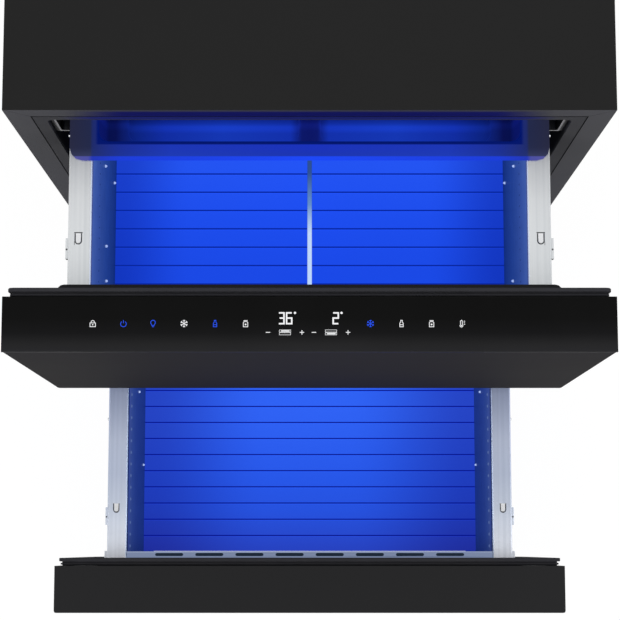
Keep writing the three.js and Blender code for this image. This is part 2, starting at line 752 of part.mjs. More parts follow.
function condenser() {
  const y0 = machineFront + coilGap;
  const y1 = machineBack - coilGap;
  const z0 = baseHeight + panSheet + fit;
  const z1 = machineTop - coilDrop;
  const coil = finBlock(-(y1 - y0) / 2, (y1 - y0) / 2, 0, coilRun, z0, z1, 13)
    .rotateZ(-Math.PI / 2).translate(coilMargin - halfCabinet, machineMiddle, 0);
  const plate = rectangle(y0, y1, z0, z1, 6);
  const bore = new THREE.Path();
  bore.absarc(machineMiddle, fanLevel, machineFanRadius + 4, 0, 2 * Math.PI, false);
  plate.holes.push(bore);
  const shroudStart = coilEnd + shroudGap;
  const shroud = extrude(plate, 'x', shroudStart, shroudStart + shroudPlate, 8);
  const near = stayInset;
  const far = stayInset + stayWidth;
  const stays = [[y0 + near, z0 + near], [y1 - far, z0 + near], [y0 + near, z1 - far], [y1 - far, z1 - far]].map(
    ([y, z]) => block(coilEnd - 4, shroudStart + 1, y, y + stayWidth, z, z + stayWidth));
  const r = machineMotorRadius;
  const motor = revolve([[0, 0], [r - 3, 0], [r, 3], [r, machineMotorLength], [0, machineMotorLength]], 'x', 12)
    .translate(machineMotorStart, machineMiddle, fanLevel);
  const arms = [0, 1, 2, 3].flatMap((i) => {
    const reach = machineFanRadius + armReach;
    const armEnd = machineMotorStart + machineMotorLength / 2 + 1;
    const half = armWidth / 2;
    const arm = block(armEnd - armThickness, armEnd, r * 0.6, reach, -half, half);
    const post = block(shroudStart + 2, armEnd, reach - armThickness, reach, -half, half);
    return [arm, post].map((piece) =>
      piece.rotateX(Math.PI / 4 + i * Math.PI / 2).translate(0, machineMiddle, fanLevel));
  });
  return join(coil, ...stays, shroud, motor, ...arms);
}

function machineFan() {
  const shaftLength = machineFanGap + machineShaft;
  const wheel = bladeWheel(machineFanRadius, machineFanHub, machineFanDepth, machineFanBlades);
  const shaft = new THREE.CylinderGeometry(machineShaft, machineShaft, shaftLength, 12)
    .translate(0, machineFanDepth + machineFanGap - shaftLength / 2, 0);
  return join(wheel, shaft).rotateZ(-Math.PI / 2)
    .translate(machineMotorStart - fit - machineFanDepth - machineFanGap, machineMiddle, fanLevel);
}

function cableGland() {
  const low = machineBack + sheet;
  const r = glandRadius;
  return revolve([
    [r / 2, -r * 1.25], [r, -r * 1.25], [r, fit], [r * 1.5, fit], [r * 1.5, r / 2], [r * 1.1, r * 0.6],
    [r * 0.85, r * 1.9], [r / 2, r * 1.9], [r / 2, -r * 1.25],
  ], 'y', 12).translate(glandX, low, glandZ);
}

// ---------------------------------------------------------------- ball-bearing slides
// Sections are drawn from the cabinet side (u = 0) towards the drawer, v from the slide's middle. The rows
// of balls are drawn as the rounded bead that they fill between two members.
const slideOuterX = innerDrawer + steel + fit + slideThickness;
const wallX = halfOpening - fit;
const halfSlide = slideHeight / 2;
const railMouth = 7.6; // inner face of the rail's lip
const middleMouth = 9.7; // inner face of the middle member's lip
const outerBead = 3.75;
const innerBead = 3.45;
const beadTop = halfSlide - slideSheet - slideRun;
const middleTop = beadTop - outerBead;
const middleWeb = slideSheet + slideRun;
const innerBeadTop = middleTop - slideSheet - slideRun;
const runnerTop = innerBeadTop - innerBead;
const runnerEdge = middleWeb + slideSheet + slideRun;

// The upper half of a section, followed by its mirror image back to the start.
const mirrorDown = (corners) => [...corners, ...corners.map(([u, v, r]) => [u, -v, r]).reverse()];

const railSection = mirrorDown([
  [0, halfSlide, 2.4], [railMouth + slideSheet, halfSlide, 2.2],
  [railMouth + slideSheet, middleTop + fit, 0], [railMouth, middleTop + fit, 0],
  [railMouth, halfSlide - slideSheet, 1.2], [slideSheet, halfSlide - slideSheet, 1.4],
]);

const middleSection = mirrorDown([
  [middleWeb, beadTop, 2.4], [railMouth - slideRun, beadTop, 2.4],
  [railMouth - slideRun, middleTop, 0.4], [middleMouth + slideSheet, middleTop, 1],
  [middleMouth + slideSheet, runnerTop + fit, 0], [middleMouth, runnerTop + fit, 0],
  [middleMouth, middleTop - slideSheet, 0.8], [middleWeb + slideSheet, middleTop - slideSheet, 1],
]);

const runnerSection = mirrorDown([
  [slideThickness - slideSheet, runnerTop - slideSheet, 0.8],
  [runnerEdge + slideSheet, runnerTop - slideSheet, 0.4], [runnerEdge + slideSheet, runnerTop - beadLip, 0],
  [runnerEdge, runnerTop - beadLip, 0], [runnerEdge, innerBeadTop, 2.2],
  [middleMouth - slideRun, innerBeadTop, 2.2], [middleMouth - slideRun, runnerTop, 0.4],
  [slideThickness, runnerTop, 1],
]);

// Turns a section round to one side of the cabinet and to its height.
function slideMember(section, hand, level, from, to) {
  const corners = section.map(([u, v, r]) => [hand * (slideOuterX - u), level + v, r]);
  return extrude(outline(corners), 'y', from, to);
}

const slideLevel = (zone) => zone.doorTop - drawerDrop - steel - slideDrop + fit - halfSlide;

// The rail hangs on three brackets that reach back to the liner wall.
function rail(zone, hand) {
  const level = slideLevel(zone);
  const wall = hand * wallX;
  const post = hand * (wallX - bracketPost);
  const web = hand * (slideOuterX - slideSheet / 2);
  const foot = level - 5;
  const arm = outline([
    [web, foot, 0], [wall, foot, 2], [wall, foot + bracketRise + 5, 2], [post, foot + bracketRise + 5, 2],
    [post, foot + bracketSheet, 2], [web, foot + bracketSheet, 0],
  ]);
  const gap = (railLength - bracketLength) / 2;
  const brackets = [0, 1, 2].map((i) =>
    extrude(arm, 'y', railStart + i * gap, railStart + i * gap + bracketLength, 1));
  return join(slideMember(railSection, hand, level, railStart, railStart + railLength), ...brackets);
}

// ---------------------------------------------------------------- doors, drawn shut
const planOf = (inset, back) => outline([
  [-halfDoor + inset, doorFront + inset, 2.5], [halfDoor - inset, doorFront + inset, 2.5],
  [halfDoor - inset, back, 0], [-halfDoor + inset, back, 0],
]);

// Folded sheet pan, open at the back; the upper one is closed above by the touch panel.
function doorShell(zone) {
  const bottom = zone.doorTop - doorHeight;
  const openTop = zone === upperZone;
  const top = openTop ? zone.doorTop - panelThickness - fit : zone.doorTop;
  const hollowTop = openTop ? top + 5 : top - doorSkin;
  const pan = extrude(planOf(0, gasketFront), 'z', bottom, top);
  return cut(pan, extrude(planOf(doorSkin, gasketFront + 5), 'z', bottom + doorSkin, hollowTop));
}

const doorInside = (zone) => ({
  half: halfDoor - doorSkin - fit,
  low: zone.doorTop - doorHeight + doorSkin + fit,
  high: zone.doorTop - (zone === upperZone ? panelThickness + 2 * fit : doorSkin + fit),
});

function doorCore(zone) {
  const { half, low, high } = doorInside(zone);
  const back = gasketFront - doorLinerPlate - fit;
  const front = doorFront + doorSkin + fit;
  return extrude(outline([
    [-half, front, 2], [half, front, 2], [half, back, 0], [-half, back, 0],
  ]), 'z', low, high);
}

// Back plate with a raised field that carries the drawer. The upper one has a ridge that enters the
// opening over the drawer's front wall.
function doorLiner(zone) {
  const { half, low, high } = doorInside(zone);
  const plate = extrude(rectangle(-half, half, low, high, 2), 'y', gasketFront - doorLinerPlate, gasketFront);
  const raised = -closedGap - fit;
  const halfField = halfOpening - plateauMargin;
  const fieldTop = zone.ceiling - 2;
  const field = extrude(rectangle(-halfField, halfField, zone.doorTop - doorHeight + plateauEdge,
    fieldTop, 6), 'y', gasketFront - 1, raised);
  if (zone === lowerZone) return join(plate, field);
  const ramp = ridgeDepth * 0.7;
  const ridge = extrude(outline([
    [-halfField + 0.5, raised - 1, 0], [halfField - 0.5, raised - 1, 0], [halfField - 0.5, raised, 1],
    [halfField - ramp, raised + ridgeDepth, 4], [-halfField + ramp, raised + ridgeDepth, 4],
    [-halfField + 0.5, raised, 1],
  ]), 'z', fieldTop - ridgeHeight, fieldTop - 0.5);
  return join(plate, field, ridge);
}

// Bellows gasket: foot, front bead, groove and magnet tube, carried round the door.
function gasket(zone) {
  const back = -closedGap;
  const front = gasketFront + fit;
  const wide = gasketWidth;
  const section = [
    [0.6, back], [wide - 0.6, back], [wide, back - 0.6], [wide, back - 3.4], [wide - 0.6, back - 4],
    [wide - 3.5, back - 4], [wide - 3.5, back - 5.5], [wide - 1.8, back - 5.8], [wide - 1.8, back - 7.6],
    [wide - 3.8, back - 7.9], [wide - 3.8, front], [3.8, front], [3.8, back - 7.9], [1.8, back - 7.6],
    [1.8, back - 5.8], [3.5, back - 5.5], [3.5, back - 4], [0.6, back - 4], [0, back - 3.4],
    [0, back - 0.6],
  ];
  return ringSweep(section, -halfDoor + gasketInset, halfDoor - gasketInset,
    zone.doorTop - doorHeight + gasketInset, zone.doorTop - gasketInset, 6, 2);
}

function touchPanel() {
  const top = upperZone.doorTop;
  const low = top - panelThickness;
  return extrude(outline([
    [doorFront, low, 0.4], [gasketFront, low, 0.4], [gasketFront, top, 0.8], [doorFront, top, 1.4],
  ]), 'x', -halfDoor, halfDoor);
}

// ---------------------------------------------------------------- drawers, drawn shut
const levels = (zone) => {
  const rim = zone.doorTop - drawerDrop;
  const floor = rim - drawerHeight;
  return { rim, floor, under: floor - floorThickness };
};
const notched = (zone) => zone === lowerZone;
const floorEnd = (zone) => (notched(zone) ? drawerBack - notchLength : drawerBack) - steel - fit;

// A formed side: inner wall, cap and folded outer lip, with the pressed U tab and the outer tabs.
function drawerSide(zone, hand) {
  const { rim, floor, under } = levels(zone);
  const raised = notched(zone) ? under - steel + notchHeight : under - steel;
  const end = drawerBack - (notched(zone) ? notchLength : 0);
  const x = (value) => hand * value;
  const rear = notched(zone) ? [[end, under - steel], [end, raised], [drawerBack, raised]] :
    [[drawerBack, under - steel]];
  const wallShape = outline([
    [drawerFront, under - steel], ...rear, [drawerBack, rim - steel / 2], [drawerFront, rim - steel / 2],
  ]);
  const spanX = [x(innerDrawer), x(innerDrawer + steel)].sort((a, b) => a - b);
  const wall = extrude(wallShape, 'x', ...spanX);
  const cap = extrude(outline([
    [x(innerDrawer), rim - innerFlange, 0], [x(innerDrawer), rim, 1.4], [x(halfDrawer), rim, 1.4],
    [x(halfDrawer), rim - rimLip, 0.5], [x(halfDrawer - steel), rim - rimLip, 0.5],
    [x(halfDrawer - steel), rim - steel, 0.6], [x(innerDrawer + steel), rim - steel, 0.6],
    [x(innerDrawer + steel), rim - innerFlange, 0],
  ]), 'y', drawerFront, drawerBack);
  const shelf = extrude(outline([
    [x(innerDrawer - shelfWidth), under - steel, 0], [x(innerDrawer + 1), under - steel, 0],
    [x(innerDrawer + 1), under, 0], [x(innerDrawer - shelfWidth), under, 0],
  ]), 'y', drawerFront, floorEnd(zone));
  const tab = uSlot(x(innerDrawer + tabInset), drawerFront + tabSetback);
  const clip = extrude(rectangle(x(halfDrawer - 1), x(halfDrawer + clipReach), rim - rimLip * 0.75,
    rim - steel, 0.6), 'y', drawerFront + clipSetback, drawerFront + clipSetback + clipLength);
  const hook = extrude(rectangle(x(halfDrawer - 1), x(halfDrawer + hookReach), rim - rimLip * 0.8,
    rim - steel * 0.7, 0.6), 'y', drawerFront, drawerFront + hookLength);
  const side = join(wall, cap, shelf, clip, hook);
  return cut(side, extrude(tab, 'z', rim - steel - 1, rim + 1));
}

// Slot that frees a small tongue in the cap: two legs and a round end.
function uSlot(x, y) {
  const outerHalf = tabHalf;
  const innerHalf = tabHalf - tabCut;
  const leg = tabLeg;
  const shape = new THREE.Shape();
  shape.moveTo(x - outerHalf, y + leg);
  shape.lineTo(x - outerHalf, y - 2);
  shape.absarc(x, y - 2, outerHalf, Math.PI, 2 * Math.PI, false);
  shape.lineTo(x + outerHalf, y + leg);
  shape.lineTo(x + innerHalf, y + leg);
  shape.lineTo(x + innerHalf, y - 2);
  shape.absarc(x, y - 2, innerHalf, 2 * Math.PI, Math.PI, true);
  shape.lineTo(x - innerHalf, y + leg);
  shape.closePath();
  return shape;
}

// Floor with narrow grooves across it, laid on the sides' shelves.
function drawerFloor(zone) {
  const { floor, under } = levels(zone);
  const start = wallBack + fit;
  const end = floorEnd(zone);
  const corners = [[start, under + fit], [end, under + fit], [end, floor]];
  const count = Math.floor((end - start - floorGroove / 2) / floorGroove) + 1;
  for (let i = count - 1; i >= 0; i -= 1) {
    const middle = start + floorGroove * (i + 0.5);
    corners.push([middle + grooveWidth / 2, floor], [middle + grooveWidth / 4, floor - grooveDepth],
      [middle - grooveWidth / 4, floor - grooveDepth], [middle - grooveWidth / 2, floor]);
  }
  corners.push([start, floor]);
  return extrude(outline(corners), 'x', -innerDrawer + fit, innerDrawer - fit);
}

// Folded front wall: inner wall, slotted top strip and a short flange against the door liner.
function frontWall(zone) {
  const { rim, under } = levels(zone);
  const half = innerDrawer - fit;
  const profile = outline([
    [drawerFront, rim - frontFlange, 0], [drawerFront, rim, 1.2], [wallBack, rim, 1.2],
    [wallBack, under + fit, 0], [wallBack - steel, under + fit, 0], [wallBack - steel, rim - steel, 0.4],
    [drawerFront + steel, rim - steel, 0.4], [drawerFront + steel, rim - frontFlange, 0],
  ]);
  const middle = (drawerFront + wallBack) / 2;
  const pitch = 2 * (innerDrawer - slotMargin) / slotCount;
  const slots = spread(slotCount, pitch).map((across) =>
    extrude(slot(across, middle, slotLength, slotWidth, THREE.Shape), 'z', rim - 3, rim + 1));
  return cut(extrude(profile, 'x', -half, half), ...slots);
}

// The back wall; the lower one is bent forward over the cabinet's step and down to the floor.
function backWall(zone) {
  const { rim, floor, under } = levels(zone);
  const half = innerDrawer - fit;
  const inner = drawerBack - steel;
  const step = floor + notchHeight;
  const corners = notched(zone)
    ? [[drawerBack, rim], [inner, rim], [inner, step], [drawerBack - notchLength - steel, step],
      [drawerBack - notchLength - steel, under + fit], [drawerBack - notchLength, under + fit],
      [drawerBack - notchLength, step - steel], [drawerBack, step - steel]]
    : [[drawerBack, rim], [inner, rim], [inner, under + fit], [drawerBack, under + fit]];
  return extrude(outline(corners), 'x', -half, half);
}

// Folded sheet standing on the floor, with a round top edge.
function divider() {
  const { floor } = levels(upperZone);
  const half = dividerWidth / 2;
  const top = floor + dividerHeight;
  const shape = outline([
    [-half, floor + fit, 0], [-half, top, half * 0.95], [half, top, half * 0.95], [half, floor + fit, 0],
    [half - dividerSheet, floor + fit, 0], [half - dividerSheet, top - dividerSheet, 0.6],
    [-half + dividerSheet, top - dividerSheet, 0.6], [-half + dividerSheet, floor + fit, 0],
  ]);
  return extrude(shape, 'y', wallBack + fit, drawerBack - steel - fit);
}

// ---------------------------------------------------------------- sliding tray, drawn on the shut drawer
function tray() {
  const { rim } = levels(upperZone);
  const front = drawerFront + traySetback;
  const back = front + trayDepth;
  const low = rim + fit;
  const halfTray = halfDrawer - 0.5;
  const halfBasin = innerDrawer - 3;
  const loopAt = (inset, z, radius) => roundLoop(-halfTray + inset, halfTray - inset, front + inset,
    back - inset, radius, 3).map(([x, y]) => [x, y, z]);
  const basinAt = (inset, z) => roundLoop(-halfBasin + inset, halfBasin - inset,
    front + trayFrontRim + inset, back - trayFrontRim - inset, Math.max(6, trayCorner - inset), 3)
    .map(([x, y]) => [x, y, z]);
  const floor = low - trayBasin;
  const top = low + trayRim;
  const body = loft([
    basinAt(trayDraft + 3, floor), basinAt(trayDraft, floor + 3), basinAt(0, low),
    loopAt(0.6, low, trayCorner), loopAt(0, low + 0.8, trayCorner), loopAt(0, top - 0.8, trayCorner),
    loopAt(0.8, top, trayCorner),
    basinAt(trayWall - 1.5, top), basinAt(trayWall, top - 1.5),
    basinAt(trayWall + trayDraft, floor + trayWell + 3),
    basinAt(trayWall + trayDraft + 3, floor + trayWell),
  ]);
  const wellLow = floor + trayWall;
  const wells = [-1, 1].map((hand) => {
    const near = trayRib / 2;
    const far = halfBasin - trayLedge;
    const wellAt = (inset, z) => roundLoop(Math.min(hand * near, hand * far) + inset,
      Math.max(hand * near, hand * far) - inset, front + trayFrontRim + 12 + inset,
      back - trayFrontRim - 12 - inset, 9, 3).map(([x, y]) => [x, y, z]);
    return loft([wellAt(3.5, wellLow), wellAt(1, wellLow + 3), wellAt(0, floor + trayWell + 1)]);
  });
  return cut(body, ...wells);
}

// ---------------------------------------------------------------- assembly
const cabinet = new THREE.Group();
put(cabinet, 'side_panel_left', sidePanel(-1), blackSteel);
put(cabinet, 'side_panel_right', sidePanel(1), blackSteel);
put(cabinet, 'top_panel', topPanel(), blackSteel);
put(cabinet, 'back_panel', backPanel(), blackSteel);
put(cabinet, 'base_pan', basePan(), zinc);
put(cabinet, 'front_frame', frontFrame(), blackPlastic);
put(cabinet, 'insulation', insulation(), foam);
put(cabinet, 'toe_grille', toeGrille(), blackPlastic);
put(cabinet, 'compressor', compressor(), darkShell);
put(cabinet, 'condenser', condenser(), fins);
put(cabinet, 'cable_gland', cableGland(), rubber);

const footNames = ['front_left', 'front_right', 'rear_left', 'rear_right'];
footPlaces.forEach(([x, y], i) => {
  put(cabinet, `foot_${footNames[i]}`, levellingFoot(), zinc).position.set(x, y, 0);
});

const machineWheel = new THREE.Group();
put(machineWheel, 'condenser_fan', machineFan(), blackPlastic);
cabinet.add(machineWheel);

for (const [label, zone] of [['upper', upperZone], ['lower', lowerZone]]) {
  put(cabinet, `${label}_liner`, liner(zone), blackPlastic);
  put(cabinet, `${label}_light_bar`, lightBar(zone), lamp);
  put(cabinet, `${label}_duct_cover`, ductCover(zone), coolWhite);
  put(cabinet, `${label}_evaporator`, evaporator(zone), fins);
  put(cabinet, `${label}_fan`, coldFan(zone), blackPlastic);

  const open = zone === upperZone ? upperOpen : lowerOpen;
  const middles = new THREE.Group(); // middle slide members travel half as far as the drawer
  middles.position.y = -open / 2;
  const drawer = new THREE.Group();
  drawer.position.y = -open;
  cabinet.add(middles, drawer);

  const level = slideLevel(zone);
  for (const [side, hand] of [['left', -1], ['right', 1]]) {
    put(cabinet, `${label}_rail_${side}`, rail(zone, hand), zinc);
    put(middles, `${label}_middle_${side}`,
      slideMember(middleSection, hand, level, railStart + memberStart,
        railStart + memberStart + memberLength), zinc);
    put(drawer, `${label}_runner_${side}`,
      slideMember(runnerSection, hand, level, drawerFront + memberStart,
        drawerFront + memberStart + memberLength), zinc);
    put(drawer, `${label}_side_${side}`, drawerSide(zone, hand), brushed);
  }
  put(drawer, `${label}_floor`, drawerFloor(zone), coolWhite);
  put(drawer, `${label}_front_wall`, frontWall(zone), coolWhite);
  put(drawer, `${label}_back_wall`, backWall(zone), coolWhite);
  put(drawer, `${label}_door_shell`, doorShell(zone), blackSteel);
  put(drawer, `${label}_door_core`, doorCore(zone), foam);
  put(drawer, `${label}_door_liner`, doorLiner(zone), blackPlastic);
  put(drawer, `${label}_gasket`, gasket(zone), rubber);
  if (zone === upperZone) {
    put(drawer, 'touch_panel', touchPanel(), gloss);
    put(drawer, 'upper_divider', divider(), brushed);
    put(drawer, 'sliding_tray', tray(), smoked);
  }
}

// The lower door is the front of the whole; the origin lies halfway back from it.
const model = new THREE.Group();
model.add(cabinet);
cabinet.position.y = (lowerOpen - doorFront - cabinetDepth) / 2;

export default model;
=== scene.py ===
import math

import bmesh
import bpy
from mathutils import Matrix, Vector
from mathutils.bvhtree import BVHTree


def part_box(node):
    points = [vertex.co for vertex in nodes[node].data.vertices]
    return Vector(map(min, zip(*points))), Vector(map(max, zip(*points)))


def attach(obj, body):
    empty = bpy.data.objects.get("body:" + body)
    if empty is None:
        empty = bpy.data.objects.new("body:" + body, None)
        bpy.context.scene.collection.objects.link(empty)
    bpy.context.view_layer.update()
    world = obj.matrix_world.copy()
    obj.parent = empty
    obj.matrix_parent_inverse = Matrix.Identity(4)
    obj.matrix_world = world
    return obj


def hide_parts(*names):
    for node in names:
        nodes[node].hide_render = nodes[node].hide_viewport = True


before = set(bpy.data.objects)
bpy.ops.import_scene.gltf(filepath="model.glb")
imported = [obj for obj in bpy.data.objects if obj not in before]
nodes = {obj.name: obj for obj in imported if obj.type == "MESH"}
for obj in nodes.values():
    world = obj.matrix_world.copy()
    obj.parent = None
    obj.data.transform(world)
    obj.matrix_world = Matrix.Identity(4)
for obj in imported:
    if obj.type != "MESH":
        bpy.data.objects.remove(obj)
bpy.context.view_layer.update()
scene = bpy.context.scene
mm = 0.001
sides = ((-1, "left"), (1, "right"))

# Places that the frame gives: the cabinet's front plane, and each drawer's front edge, rim and floor.
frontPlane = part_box("front_frame")[0].y
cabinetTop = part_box("top_panel")[1].z
zones = {}
for zoneName in ("upper", "lower"):
    wallLow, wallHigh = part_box(f"{zoneName}_front_wall")
    zones[zoneName] = {
        "name": zoneName,
        "front": wallLow.y,
        "wallBack": wallHigh.y,
        "back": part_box(f"{zoneName}_back_wall")[1].y,
        "rim": wallHigh.z,
        "floor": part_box(f"{zoneName}_floor")[1].z,
        "inner": abs(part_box(f"{zoneName}_floor")[0].x),
        "body": f"{zoneName}_drawer",
    }


# ---- colours and node helpers
def tone(red, green, blue):
    # a screen colour from 0 to 255 as a linear colour
    return tuple(((c / 255 + 0.055) / 1.055) ** 2.4 if c > 10 else c / 255 / 12.92
                 for c in (red, green, blue)) + (1.0,)


def addNode(tree, kind, inputs=None, **settings):
    node = tree.nodes.new(kind)
    for name, value in settings.items():
        setattr(node, name, value)
    for socket, value in (inputs or {}).items():
        if isinstance(value, bpy.types.NodeSocket):
            tree.links.new(value, node.inputs[socket])
        else:
            node.inputs[socket].default_value = value
    return node


def calculate(tree, operation, first, second=0.0):
    return addNode(tree, "ShaderNodeMath", {0: first, 1: second}, operation=operation).outputs[0]


def multiply(tree, first, *others):
    for other in others:
        first = calculate(tree, "MULTIPLY", first, other)
    return first


def fade(tree, value, start, end, low=0.0, high=1.0):
    # a smooth step from low at start to high at end
    node = addNode(tree, "ShaderNodeMapRange", {"Value": value, "From Min": start, "From Max": end,
                   "To Min": low, "To Max": high}, interpolation_type="SMOOTHSTEP")
    return node.outputs["Result"]


def mixColors(tree, share, first, second, blend="MIX"):
    node = addNode(tree, "ShaderNodeMix", {0: share, 6: first, 7: second}, data_type="RGBA",
                   blend_type=blend)
    return node.outputs[2]


def scaleColor(tree, color, factor):
    color = color if isinstance(color, bpy.types.NodeSocket) else color[:3]
    return addNode(tree, "ShaderNodeVectorMath", {0: color, "Scale": factor}, operation="SCALE").outputs[0]


def ramp(tree, value, stops):
    # colours laid along a value; each stop is its place, then a screen colour or one grey factor
    low, high = stops[0][0], stops[-1][0]
    share = addNode(tree, "ShaderNodeMapRange", {"Value": value, "From Min": low, "From Max": high})
    node = addNode(tree, "ShaderNodeValToRGB", {0: share.outputs["Result"]})
    elements = node.color_ramp.elements
    while len(elements) < len(stops):
        elements.new(0.5)
    for element, (at, *color) in zip(elements, stops):
        element.position = (at - low) / (high - low)
        element.color = tone(*color) if len(color) == 3 else (*(color * 3), 1.0)
    return node.outputs[0]


def shareBetween(tree, value, start, end):
    # 0 at start and 1 at end
    return calculate(tree, "DIVIDE", calculate(tree, "SUBTRACT", value, start), end - start)


def place(tree):
    # the place on the piece, in metres, that stays with it as it moves
    point = addNode(tree, "ShaderNodeTexCoord").outputs["Object"]
    parts = addNode(tree, "ShaderNodeSeparateXYZ", {0: point})
    return point, parts.outputs[0], parts.outputs[1], parts.outputs[2]


def facing(tree):
    normal = addNode(tree, "ShaderNodeTexCoord").outputs["Normal"]
    return addNode(tree, "ShaderNodeSeparateXYZ", {0: normal}).outputs


def outward(tree, x):
    return calculate(tree, "ABSOLUTE", x)


# ---- shared effects
def newGroup(name, inputs, outputs):
    group = bpy.data.node_groups.new(name, "ShaderNodeTree")
    for label, value in inputs.items():
        socket = group.interface.new_socket(label, in_out="INPUT", socket_type="NodeSocketFloat")
        socket.default_value = value
    for label in outputs:
        group.interface.new_socket(label, in_out="OUTPUT", socket_type="NodeSocketFloat")
    start = group.nodes.new("NodeGroupInput").outputs
    end = group.nodes.new("NodeGroupOutput").inputs
    return group, start, end


def powderGroup():
    # fine orange peel of a baked coat, and a slow mottle for its sheen
    group, start, end = newGroup("powderCoat", {"Scale": 900.0, "Mottle Scale": 9.0}, ["Height", "Mottle"])
    point = place(group)[0]
    fine = addNode(group, "ShaderNodeTexNoise", {"Vector": point, "Scale": start["Scale"], "Detail": 2.0})
    slow = addNode(group, "ShaderNodeTexNoise",
                   {"Vector": point, "Scale": start["Mottle Scale"], "Detail": 3.0})
    group.links.new(fine.outputs[0], end["Height"])
    group.links.new(slow.outputs[0], end["Mottle"])
    return group


def brushedGroup():
    # long scratches along the depth, from noise that is stretched along Y
    group, start, end = newGroup("brushedGrain", {"Across": 2600.0, "Along": 14.0}, ["Height", "Streak"])
    point = place(group)[0]
    stretch = addNode(group, "ShaderNodeCombineXYZ",
                      {0: start["Across"], 1: start["Along"], 2: start["Across"]})
    scaled = addNode(group, "ShaderNodeVectorMath", {0: point, 1: stretch.outputs[0]}, operation="MULTIPLY")
    fine = addNode(group, "ShaderNodeTexNoise", {"Vector": scaled.outputs[0], "Scale": 1.0, "Detail": 3.0})
    wide = addNode(group, "ShaderNodeTexNoise", {"Vector": scaled.outputs[0], "Scale": 0.12, "Detail": 2.0})
    group.links.new(fine.outputs[0], end["Height"])
    group.links.new(wide.outputs[0], end["Streak"])
    return group


def dustGroup():
    # a thin film that lies on faces that look up, broken up by noise
    group, start, end = newGroup("settledDust", {"Amount": 0.05}, ["Mask"])
    point = place(group)[0]
    normal = addNode(group, "ShaderNodeNewGeometry").outputs["Normal"]
    height = addNode(group, "ShaderNodeSeparateXYZ", {0: normal}).outputs[2]
    cloud = addNode(group, "ShaderNodeTexNoise", {"Vector": point, "Scale": 22.0, "Detail": 6.0})
    upward = fade(group, height, 0.6, 1.0)
    film = multiply(group, upward, fade(group, cloud.outputs[0], 0.35, 0.75), start["Amount"])
    group.links.new(film, end["Mask"])
    return group


effects = {"powder": powderGroup(), "brushed": brushedGroup(), "dust": dustGroup()}


def effect(tree, name, inputs=None):
    return addNode(tree, "ShaderNodeGroup", inputs, node_tree=effects[name]).outputs


# ---- materials
materials = {}
dustColor = tone(150, 148, 144)


def newMaterial(name, look):
    material = bpy.data.materials.new(name)
    material.use_nodes = True
    tree = material.node_tree
    shader = tree.nodes["Principled BSDF"]
    shader.inputs["Metallic"].default_value = look.get("metallic", 0.0)
    shader.inputs["Specular IOR Level"].default_value = look.get("specular", 0.1)
    shader.inputs["Roughness"].default_value = look["roughness"]
    shader.inputs["Coat Weight"].default_value = look.get("coat", 0.0)
    shader.inputs["Coat Roughness"].default_value = look.get("coatRoughness", 0.1)
    if "glow" in look:
        shader.inputs["Emission Strength"].default_value = look["glow"]
    materials[name] = material
    return tree, shader


def roughen(tree, shader, mottle, look):
    span = look.get("roughnessSpan", 0.06)
    value = fade(tree, mottle, 0.3, 0.7, look["roughness"] - span, look["roughness"] + span)
    tree.links.new(value, shader.inputs["Roughness"])


def raiseGrain(tree, shader, height, look):
    bump = addNode(tree, "ShaderNodeBump", {"Height": height, "Strength": look.get("bump", 0.2),
                   "Distance": look.get("grainDepth", 0.00005)})
    tree.links.new(bump.outputs[0], shader.inputs["Normal"])


def coated(name, look, paint=None):
    # painted steel and moulded plastic: peel or spark grain, mottled sheen and a little dust
    tree, shader = newMaterial(name, look)
    grain = effect(tree, "powder", {"Scale": look.get("grain", 900.0)})
    color = paint(tree, look) if paint else look["color"]
    span = look.get("shadeSpan", 0.05)
    shaded = scaleColor(tree, color, fade(tree, grain["Mottle"], 0.3, 0.7, 1 - span, 1 + span))
    dusty = mixColors(tree, effect(tree, "dust", {"Amount": look.get("dust", 0.004)})[0], shaded, dustColor)
    tree.links.new(dusty, shader.inputs["Base Color"])
    roughen(tree, shader, grain["Mottle"], look)
    raiseGrain(tree, shader, grain["Height"], look)
    return tree, shader


def brushed(name, look, paint=None):
    tree, shader = newMaterial(name, look)
    grain = effect(tree, "brushed", {"Across": look.get("across", 2600.0),
                                     "Along": look.get("along", 14.0)})
    base = mixColors(tree, fade(tree, grain["Streak"], 0.3, 0.7), look["dark"], look["color"])
    color = paint(tree, look, base) if paint else base
    tree.links.new(color, shader.inputs["Base Color"])
    roughen(tree, shader, grain["Height"], look)
    raiseGrain(tree, shader, grain["Height"], look)
    return tree, shader


def lit(name, look, shade):
    # a surface in the lamps' blue as painted light: it glows in the shade's colour, and a share of it is
    # paint
    def paint(tree, values):
        values["target"] = shade(tree, values)
        return scaleColor(tree, values["target"], values.get("paintShare", 0.3))

    tree, shader = coated(name, look, paint)
    tree.links.new(look["target"], shader.inputs["Emission Color"])
    return tree, shader


def shellPaint(tree, look):
    # painted light: the cabinet's front edges are painted paler than its sides, and the one over the drawers
    # takes the lamp's blue as painted light
    _, x, _, z = place(tree)
    ahead = fade(tree, facing(tree)[1], -0.5, -0.9)
    color = mixColors(tree, ahead, look["color"], look["frontColor"])
    band = multiply(tree, fade(tree, z, cabinetTop - 27 * mm, cabinetTop - 25 * mm),
                    fade(tree, z, cabinetTop - 3 * mm, cabinetTop - 10 * mm))
    under = fade(tree, outward(tree, x), 240 * mm, 180 * mm)
    return mixColors(tree, multiply(tree, ahead, band, under), color, look["litColor"])


shellLook = {"color": tone(32, 32, 32), "frontColor": tone(67, 67, 71), "litColor": tone(24, 26, 94),
             "roughness": 0.62, "specular": 0.05, "bump": 0.12, "shadeSpan": 0.012, "dust": 0.001,
             "roughnessSpan": 0.02}
coated("blackSteel", shellLook, shellPaint)


def doorPaint(tree, look):
    # painted light: a little paler towards the lower edge, to make up for the less light that falls there
    low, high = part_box("upper_door_shell")
    return ramp(tree, shareBetween(tree, place(tree)[3], high.z, low.z), look["down"])


